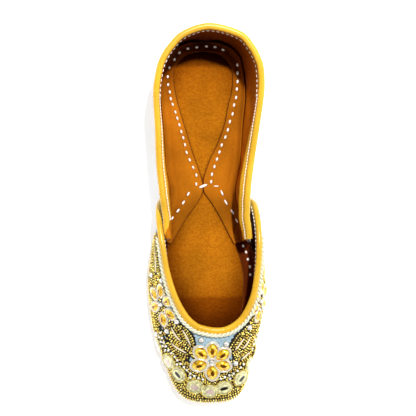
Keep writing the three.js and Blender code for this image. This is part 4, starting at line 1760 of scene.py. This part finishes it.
@dataclass
class Upper:
    """The vamp and the quarter, hollow walls of silk outside and leather inside."""

    form: ShoeForm
    palette: Palette
    vamp: UpperPiece
    quarter: UpperPiece
    beaded: Callable[[Array], Array]
    stations: int = 420
    up: int = 56

    def wall(self, name: str, piece: UpperPiece, shares: Array) -> None:
        """Builds one hollow wall.

        Args:
            name: name of the piece and of the node that it replaces.
            piece: its outer face.
            shares: stations along it.
        """
        rise = np.linspace(0, 1, self.up + 1)
        face = piece.face(shares[:, None], rise[None, :])
        inner = face.lifted(-piece.wall_at(face.to_edge))
        inner[:, 0, 2] = face.point[:, 0, 2]
        grid = np.concatenate([face.point, inner[:, ::-1]], axis=1)
        finish = np.ones((len(shares) - 1, grid.shape[1]), int)
        middle = (face.point[:-1, :-1] + face.point[1:, 1:]) / 2
        # Cloth under the beads takes the dark ground, which paints the shade between the beads.
        finish[:, : self.up] = np.where(self.beaded(middle.reshape(-1, 3)).reshape(middle.shape[:2]), 2, 0)
        shape = Shape().sheet(grid, finish=finish, caps=True)
        finishes = [self.palette[word] for word in ("silk", "lining", "ground")]
        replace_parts(shape.build(name + "_wall", finishes, Slot.SILK), name)

    def build(self) -> None:
        """Builds both walls."""
        even = np.linspace(0, 1, self.stations + 1)
        self.wall("vamp", self.vamp, crowded(even))
        self.wall("quarter", self.quarter, even)


@dataclass
class Binding:
    """A folded strip of gold leather over an edge of the upper, with its line of stitches inside.

    From one place along the shoe to another, cover_from to cover_to, the lining's leather covers it.
    """

    form: ShoeForm
    palette: Palette
    piece: UpperPiece
    inner_leg: float
    name: str
    stations: int = 420
    puff: float = 0.35
    pucker: float = 0.09
    pucker_pitch: float = 4.2
    second_pitch: float = 2.9
    second_shift: float = 1.3
    ragged: float = 0.12
    narrower: float = 0.0
    stand_off: float = 0.0
    cover_from: float = -200.0
    cover_to: float = -220.0
    cover_medial: float = 0.22
    sewn_at: float = 2.3
    loose_from: float = 18.0
    loose_to: float = 66.0
    leg_steps: int = 8
    roll_steps: int = 12

    def shares(self) -> Array:
        """Returns the stations along the strip."""
        even = np.linspace(0, 1, self.stations + 1)
        return even if self.piece.tucked else crowded(even)

    def build(self, bare: Callable[[Array], Array]) -> None:
        """Builds the strip.

        Args:
            bare: whether the inner leg shows as lining leather at a station's place along the shoe.
        """
        form, piece = self.form, self.piece
        shares = self.shares()
        edge = piece.face(shares, 1.0)
        room = piece.length_left(piece.ribs(shares), np.zeros_like(shares)) * form.leg_room
        turned = 2 * np.pi * walked_along(edge.point)
        wave = np.sin(turned / self.pucker_pitch)
        wave = wave + 0.5 * np.sin(turned / self.second_pitch + self.second_shift)
        outer_leg = form.outer_leg - self.narrower + self.ragged * wave
        outer_rise = piece.rise_below_edge(shares, np.minimum(outer_leg, room))
        inner_rise = piece.rise_below_edge(shares, np.minimum(self.inner_leg, room))
        outside = form.fold_gap + form.binding_leather
        lining = -form.edge_wall - form.fold_gap
        half = (outside - lining + form.binding_leather) / 2
        rows = []
        legs = np.linspace(0, 1, self.leg_steps + 1)
        for t in legs[:-1]:
            spot = piece.face(shares, outer_rise + (1 - outer_rise) * t)
            swell = self.puff * math.sin(math.pi * (0.1 + 0.65 * t)) + self.pucker * wave * (1 - t)
            rows.append(spot.lifted(outside + swell))
        for k in range(self.roll_steps + 1):
            turn = math.pi * k / self.roll_steps
            lift = outside - half + half * math.cos(turn)
            swell = self.puff * 0.85 * (1 + math.cos(turn)) / 2 + self.pucker * 0.5 * wave
            out = edge.out * (lift + swell)[:, None]
            rows.append(edge.point + out + edge.up * (half * math.sin(turn)))
        inner_start = len(rows)
        for depth, way in ((form.binding_leather, legs[1:]), (0.0, legs[::-1][:-1])):
            for t in way:
                spot = piece.face(shares, 1 + (inner_rise - 1) * t)
                off = -piece.wall_at(spot.to_edge) - form.fold_gap - depth
                rows.append(spot.lifted(off) + self.off_lining(t, spot))
        rows.append(edge.lifted(lining) + edge.up * form.seam)
        rows.append(edge.lifted(form.fold_gap) + edge.up * form.seam)
        for t in legs[::-1][1:]:
            spot = piece.face(shares, outer_rise + (1 - outer_rise) * t)
            rows.append(spot.lifted(form.fold_gap))
        grid = np.stack(rows, axis=1)
        finish = np.zeros((len(shares) - 1, grid.shape[1]), int)
        hidden = bare(edge.point[:-1, 1])
        finish[:, inner_start + 1 : inner_start + 2 * self.leg_steps] = hidden[:, None]
        from_free_edge = inner_start + self.leg_steps - np.arange(grid.shape[1])
        hidden_rows = self.covered(edge.point[:-1]) * (self.leg_steps + self.roll_steps)
        finish[(from_free_edge >= 0) & (from_free_edge < hidden_rows[:, None])] = 2
        shape = Shape().sheet(grid, finish=finish, caps=True)
        finishes = [self.palette[word] for word in ("gold", "lining", "flap")]
        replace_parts(shape.build(self.name + "_strip", finishes, Slot.GOLD), self.name)

    def covered(self, points: Array) -> Array:
        """Returns how much of the strip's width the lining's leather covers, as at its front ends."""
        most = np.where(points[:, 0] < 0, 1.0, self.cover_medial)
        return most * (1 - ease(points[:, 1], self.cover_to, self.cover_from))

    def off_lining(self, leg: float, spot: Face) -> Array:
        """Moves the free edge of the inner leg away from the lining, in the forward part.

        Args:
            leg: share of the way down the leg.
            spot: the face beside it.

        Returns:
            How far each place moves.
        """
        free = max(0.0, leg - self.sewn_at / self.inner_leg) / (1 - self.sewn_at / self.inner_leg)
        forward = 1 - ease(spot.point[:, 1], self.loose_from, self.loose_to)
        level = spot.out * np.array([1.0, 1.0, 0.0])
        medial = np.where(spot.point[:, 0] > 0, 1.0, 0.3)
        return -level * (self.stand_off * free * forward * medial)[:, None]

    def stitches(self, thread: Strung, below: float, pitch: float, length: float, ends: Spot) -> None:
        """Sews the inner leg down.

        Args:
            thread: receives the stitches.
            below: distance of the line below the edge.
            pitch: distance between stitches.
            length: length of a stitch.
            ends: shares of the strip where the line starts and ends.
        """
        form, piece = self.form, self.piece
        shares = np.linspace(*ends, self.stations)
        spot = piece.face(shares, piece.rise_below_edge(shares, below))
        lift = -piece.wall_at(spot.to_edge) - form.fold_gap - form.binding_leather - 0.12
        line = spot.lifted(lift)
        place = evenly(line, pitch)
        place = place[self.covered(read_at(line, place)) < self.cover_medial * 1.5]
        onward = read_at(np.gradient(line, axis=0), place)
        thread.add(read_at(line, place), onward, -read_at(spot.out, place), (length, 0.7, 0.6))


@dataclass
class Cord:
    """Cream cord of two twisted plies, laid beside the throat binding."""

    form: ShoeForm
    palette: Palette
    vamp: UpperPiece
    closer: float = 1.0
    ply_radius: float = 0.72
    twist: float = 5.8
    steps: int = 720
    sides: int = 10

    def build(self) -> None:
        """Builds the cord."""
        form = self.form
        radius = form.cord_diameter / 2
        shares = np.linspace(form.cord_start, 1 - form.cord_start, 300)
        below = form.outer_leg - self.closer + form.seam + radius * 0.6
        spot = self.vamp.face(shares, self.vamp.rise_below_edge(shares, below))
        centre = spot.lifted(form.seam + radius * 1.1)
        place = evenly(centre, walked_along(centre)[-1] / self.steps)
        line, out, up = (read_at(values, place) for values in (centre, spot.out, spot.up))
        walked = walked_along(line)
        shape = Shape()
        for ply in (0, 1):
            turn = 2 * np.pi * walked / self.twist + ply * np.pi
            ring = out * np.sin(turn)[:, None] + up * np.cos(turn)[:, None]
            offset = radius - self.ply_radius + 0.3
            slack = 1 + 0.12 * np.sin(walked * 1.9 + ply) * np.sin(walked * 0.53)
            taper = np.minimum(1.0, np.minimum(walked, walked[-1] - walked) / 1.5 + 0.35)
            strand = line + ring * offset
            shape.sheet(tube(strand, self.ply_radius * slack * taper, self.sides), caps=True)
        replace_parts(shape.build("throat_cord_twist", [self.palette["cord"]], Slot.CORD), "throat_cord")


@dataclass
class Floor:
    """Sole, insole and the turned-in margins, laid in layers."""

    form: ShoeForm
    palette: Palette
    outline: Footprint
    stations: int = 170
    sole_end: float = 0.04
    bevel: float = 0.8
    breast_run: float = 0.4
    soft: float = 0.35
    insole_soft: float = 0.3
    full_turn_up: float = 8.0
    turn_up: tuple[Spot, ...] = ((3.4, 0.0), (2.0, 0.2), (0.8, 0.8), (-0.2, 1.9), (-1.1, 3.5), (-2.0, 5.6))

    def places(self, low: float, high: float, steps: Sequence[float] = ()) -> Array:
        """Places the sections of a slab, closer together at its round ends.

        Args:
            low: front end of the slab.
            high: back end of the slab.
            steps: places that need a section of their own.

        Returns:
            Places along the shoe.
        """
        share = (1 - np.cos(np.pi * np.arange(self.stations + 1) / self.stations)) / 2
        even = low + self.sole_end + share * (high - low - 2 * self.sole_end)
        return np.sort(np.concatenate([even, steps]))

    def outsole(self) -> None:
        """Builds the sole leather, with a low heel and a bevelled lower edge."""
        form = self.form
        edge = self.outline.drawn_in(np.zeros_like)
        breast = float(form.along_to_y(form.heel_breast))
        y = self.places(edge.toe, edge.heel, (breast, breast + self.breast_run))
        along = form.y_to_along(y)
        left, right = edge.across(Side.LATERAL, y), edge.across(Side.MEDIAL, y)
        low, high = form.tread(along), form.seat(along)
        bevel = np.minimum(self.bevel, (right - left) / 4)
        soft = bevel * 0.35
        waist = bevel * 0.25
        middle = (low + high) / 2
        rows = [
            (left + soft, high),
            (right - soft, high),
            (right, high - soft),
            (right - waist, middle),
            (right, low + bevel),
            (right - bevel * 0.3, low + bevel * 0.3),
            (right - bevel, low),
            (left + bevel, low),
            (left + bevel * 0.3, low + bevel * 0.3),
            (left, low + bevel),
            (left + waist, middle),
            (left, high - soft),
        ]
        grid = np.stack([np.column_stack([x, y, z]) for x, z in rows], axis=1)
        made = self.closed(grid[:, ::-1]).build("outsole_leather", [self.palette["sole"]], Slot.SOLE)
        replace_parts(made, "outsole")

    @staticmethod
    def closed(grid: Array, finish: Array | int = 0) -> Shape:
        """Closes the sections of a slab into a solid.

        Args:
            grid: its sections.
            finish: number of the finish, one for all or one for each place in a section.

        Returns:
            The slab with both ends closed.
        """
        shape = Shape().sheet(grid, finish)
        k = np.arange(1, grid.shape[1] - 1)
        shape.add(grid[0, ::-1], np.stack([np.zeros_like(k), k + 1, k], axis=-1))
        return shape.add(grid[-1, ::-1], np.stack([np.zeros_like(k), k, k + 1], axis=-1))

    def insole(self) -> None:
        """Builds the leather sock inside the shoe."""
        form = self.form
        edge = self.outline.drawn_in(form.inside_of)
        y = self.places(edge.toe, edge.heel)
        left, right = edge.across(Side.LATERAL, y), edge.across(Side.MEDIAL, y)
        bottom = form.insole_bottom(form.y_to_along(y))
        top = bottom + form.insole_thickness
        soft = np.minimum(self.insole_soft, (right - left) / 4)
        bend = soft * (1 - math.sqrt(0.5))
        rows = [
            (left, bottom),
            (left, top - soft),
            (left + bend, top - bend),
            (left + soft, top),
            (right - soft, top),
            (right - bend, top - bend),
            (right, top - soft),
            (right, bottom),
        ]
        grid = np.stack([np.column_stack([x, y, z]) for x, z in rows], axis=1)
        made = self.closed(grid[:, ::-1]).build("insole_sock", [self.palette["insole"]], Slot.LINING)
        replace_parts(made, "insole")

    def turned_up(self, inner: Array, outer: Array, low: Array, high: Array) -> Array:
        """Draws the section of a margin that turns up against the wall at its outer edge.

        Args:
            inner: points of its cut edge, across and along.
            outer: points of its edge at the wall.
            low: height of its underside at both edges.
            high: height of its top at both edges.

        Returns:
            Rings of points.
        """
        wide = np.linalg.norm(outer - inner, axis=1)
        way = unit(outer - inner)
        share = np.minimum(1.0, wide / self.full_turn_up)[:, None]
        soft = np.minimum(self.soft, wide / 4)[:, None]
        none = 0 * soft
        rows = [(inner, low[0], none, none), (inner, high[0], none, -soft), (inner, high[0], soft, none)]
        for inward, rise in self.turn_up:
            rows.append((outer, high[1], -inward * share, rise * share))
        rows.append((outer, low[1], none, none))
        corners = []
        for base, level, inward, rise in rows:
            corners.append(np.concatenate([base + way * inward, level[:, None] + rise], axis=1))
        return np.stack(corners, axis=1)

    def flap(self, name: str, side: Side, rows: Array, thickness: float, closed_heel: bool) -> None:
        """Builds a turned-in margin on one side of the insole.

        Args:
            name: name of the piece and of the node that it replaces.
            side: side of the shoe.
            rows: along, lateral, medial and slant of its inner edge.
            thickness: thickness of its leather.
            closed_heel: whether it goes on to the back seam.
        """
        form = self.form
        edge = self.outline.drawn_in(lambda along: form.inside_of(along) + form.seam)
        seam = HEEL_BACK[1] * form.ball_width + side.value * form.seam / 2
        row = row_between(rows, np.linspace(0, 1, self.stations))
        across = row[:, 2] if side is Side.MEDIAL else -row[:, 1]
        y = form.along_to_y(row[:, 0])
        wall_y = form.along_to_y(row[:, 0] + row[:, 3])
        x = across * form.ball_width
        if closed_heel:
            end = edge.heel - form.seam
            heel_y = end + (y[0] - end) * np.linspace(0, 0.97, 30)
            x = np.concatenate([np.full(len(heel_y), seam), x])
            y = np.concatenate([heel_y, y])
            wall_y = np.concatenate([heel_y, wall_y])
        x = np.maximum(x, seam) if side is Side.MEDIAL else np.minimum(x, seam)
        inner = np.column_stack([x, y])
        outer = np.column_stack([edge.across(side, wall_y), wall_y])
        low = tuple(form.flap_bottom(form.y_to_along(line[:, 1])) for line in (inner, outer))
        high = tuple(level + thickness for level in low)
        grid = self.turned_up(inner, outer, low, high)
        finish = np.zeros(grid.shape[1], int)
        finish[:2] = 1
        if side is Side.LATERAL:
            grid = grid[:, ::-1]
            finish = np.roll(finish[::-1], -1)
        finishes = [self.palette["flap" if closed_heel else "margin"], self.palette["edge"]]
        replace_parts(self.closed(grid, finish).build(name + "_leather", finishes, Slot.LINING), name)

    def build(self) -> None:
        """Builds every layer."""
        form = self.form
        self.outsole()
        self.insole()
        lining = np.array(LINING_FLAP_EDGE)
        margin = np.array(VAMP_FLAP_EDGE)
        for side in Side:
            word = side.name.lower()
            self.flap("lining_flap_" + word, side, lining, form.lining_flap, True)
            self.flap("vamp_flap_" + word, side, margin, form.vamp_flap, False)


@dataclass
class Stitching:
    """White thread that sews the flaps to the insole and the bindings to the upper."""

    form: ShoeForm
    palette: Palette
    buried: float = 0.4
    flatness: float = 0.8
    raised: float = 0.12

    def build(self, collar: Binding, throat: Binding) -> None:
        """Sews every line.

        Args:
            collar: binding of the quarter.
            throat: binding of the vamp.
        """
        points, faces = ball(8, 6)
        thread = Strung(points, faces)
        for thick, rows in STITCHES:
            for x0, y0, x1, y1 in rows:
                start, end = np.array([x0, y0]), np.array([x1, y1])
                middle = (start + end) / 2
                layer = self.form.lining_flap if middle[1] > LINING_FLAP_FRONT else self.form.vamp_flap
                top = float(self.form.flap_bottom(self.form.y_to_along(middle[1]))) + layer
                way = np.array([*(end - start), 0.0])
                size = (np.linalg.norm(way) + self.buried, thick, thick * self.flatness)
                thread.add(np.array([*middle, top + thick * self.raised]), way, UPWARD, size)
        for binding, below, pitch, length, ends in (
            (collar, 2.3, 2.0, 1.85, (0.01, 0.27)),
            (collar, 4.4, 3.1, 2.0, (0.27, 0.73)),
            (collar, 2.3, 2.0, 1.85, (0.73, 0.99)),
            (throat, 2.4, 2.6, 1.9, (0.08, 0.32)),
            (throat, 2.4, 2.6, 1.9, (0.68, 0.92)),
        ):
            binding.stitches(thread, below, pitch, length, ends)
        thread.shape.build("white_stitches", [self.palette["thread"]], Slot.CORD)


@dataclass
class Studio:
    """Pale floor, soft lights and the camera of the photograph's angle."""

    eye: Triple = (-39.7, 5.9, 650.0)
    aim: Triple = (0.0, 6.6, 22.0)
    pixels_per_mm: float = 1.455
    picture: int = 416
    sensor: float = 36.0
    wall: tuple[Spot, ...] = (
        (0.6, 0.0), (2.2, 0.0), (2.8, 0.06), (3.3, 0.3), (3.6, 0.7), (3.75, 1.3), (3.8, 2.2),
    )
    around: int = 64
    air: float = 0.075
    lights: tuple[tuple[str, Triple, float, float], ...] = (
        ("key_light", (0.12, 0.42, 1.2), 0.06, 19.0),
        ("side_light", (0.9, 0.1, 0.8), 0.7, 3.0),
    )

    def camera(self) -> None:
        """Sets the camera above the shoe, heel up in the picture."""
        eye = Vector([v * MM for v in self.eye]) + Vector(WORLD_SHIFT)
        aim = Vector([v * MM for v in self.aim])
        forward = (aim - eye).normalized()
        right = forward.cross(Vector((0.0, 1.0, 0.0))).normalized()
        up = right.cross(forward)
        data = bpy.data.cameras.new("camera")
        data.sensor_width = self.sensor
        data.lens = self.pixels_per_mm * self.eye[2] * self.sensor / self.picture
        data.clip_start, data.clip_end = 0.01, 20.0
        camera = bpy.data.objects.new("camera", data)
        camera.matrix_world = Matrix.Translation(eye) @ Matrix((right, up, -forward)).transposed().to_4x4()
        bpy.context.scene.collection.objects.link(camera)
        bpy.context.scene.camera = camera

    def light(self, name: str, place: Triple, size: float, watts: float) -> None:
        """Hangs a soft light that points at the shoe.

        Args:
            name: name of the light.
            place: where it hangs, in metres.
            size: width of its face in metres.
            watts: its power.
        """
        data = bpy.data.lights.new(name, "AREA")
        data.size = size
        data.energy = watts
        lamp = bpy.data.objects.new(name, data)
        lamp.location = place
        lamp.rotation_euler = (-Vector(place)).to_track_quat("-Z", "Y").to_euler()
        bpy.context.scene.collection.objects.link(lamp)

    def bowl(self) -> None:
        """Builds the pale floor, which turns up into a wall all round."""
        paint = Paint("pale_floor", Roughness=0.9, Emission_Color=WHITE, Emission_Strength=0.6)
        cloth = paint.noise(40.0, 2.0)
        paint.colour(paint.ramp(cloth, [(0.3, (0.88, 0.88, 0.87)), (0.7, (0.92, 0.92, 0.91))]))
        around = self.around
        turn = 2 * np.pi * np.arange(around) / around
        points = [(0.0, 0.0, 0.0)]
        for wide, high in self.wall:
            points += [(wide * math.cos(a), wide * math.sin(a), high) for a in turn]
        faces = [(0, 1 + k, 1 + (k + 1) % around) for k in range(around)]
        for level in range(len(self.wall) - 1):
            for k in range(around):
                a, b = 1 + level * around + k, 1 + level * around + (k + 1) % around
                faces.append((a, a + around, b + around, b))
        mesh = bpy.data.meshes.new("floor")
        mesh.from_pydata(points, [], faces)
        mesh.shade_smooth()
        mesh.materials.append(paint.material)
        floor = bpy.data.objects.new("floor", mesh)
        bpy.context.scene.collection.objects.link(floor)
        floor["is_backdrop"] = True

    def build(self) -> None:
        """Builds the studio."""
        scene = bpy.context.scene
        scene.view_settings.view_transform = "Standard"
        world = bpy.data.worlds.new("studio_air")
        world.use_nodes = True
        background = world.node_tree.nodes["Background"]
        background.inputs["Color"].default_value = (1.0, 0.99, 0.97, 1.0)
        background.inputs["Strength"].default_value = self.air
        scene.world = world
        for light in self.lights:
            self.light(*light)
        self.bowl()
        self.camera()


def main() -> None:
    """Builds the shoe and reports each piece."""
    logging.basicConfig(level=logging.INFO, format="%(message)s")
    form = FORM
    palette = Palette()
    vamp = UpperPiece(form, OUTLINE, np.array(VAMP_RIBS), form.wing_height, form.vamp_wall)
    quarter = UpperPiece(form, OUTLINE, np.array(QUARTER_RIBS), form.heel_height, form.quarter_wall)
    Studio().build()
    Floor(form, palette, OUTLINE).build()
    beadwork = Beadwork(palette, Chart(vamp), Chart(quarter))
    beadwork.sew()
    Upper(form, palette, vamp, quarter, beadwork.covers).build()
    collar = Binding(
        form, palette, quarter, form.collar_inner_leg, "collar_binding",
        stand_off=1.3, cover_from=6.0, cover_to=-15.0,
    )
    collar.build(lambda y: (y > GOLD_FACING_END).astype(int))
    throat = Binding(form, palette, vamp, form.throat_inner_leg, "throat_binding", puff=0.12, narrower=1.0)
    throat.build(lambda y: np.zeros(len(y), int))
    Stitching(form, palette).build(collar, throat)
    Cord(form, palette, vamp).build()
    beadwork.build()
    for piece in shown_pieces():
        log.info("%s: %d faces", piece.name, len(piece.data.polygons))


if __name__ == "__main__":
    main()
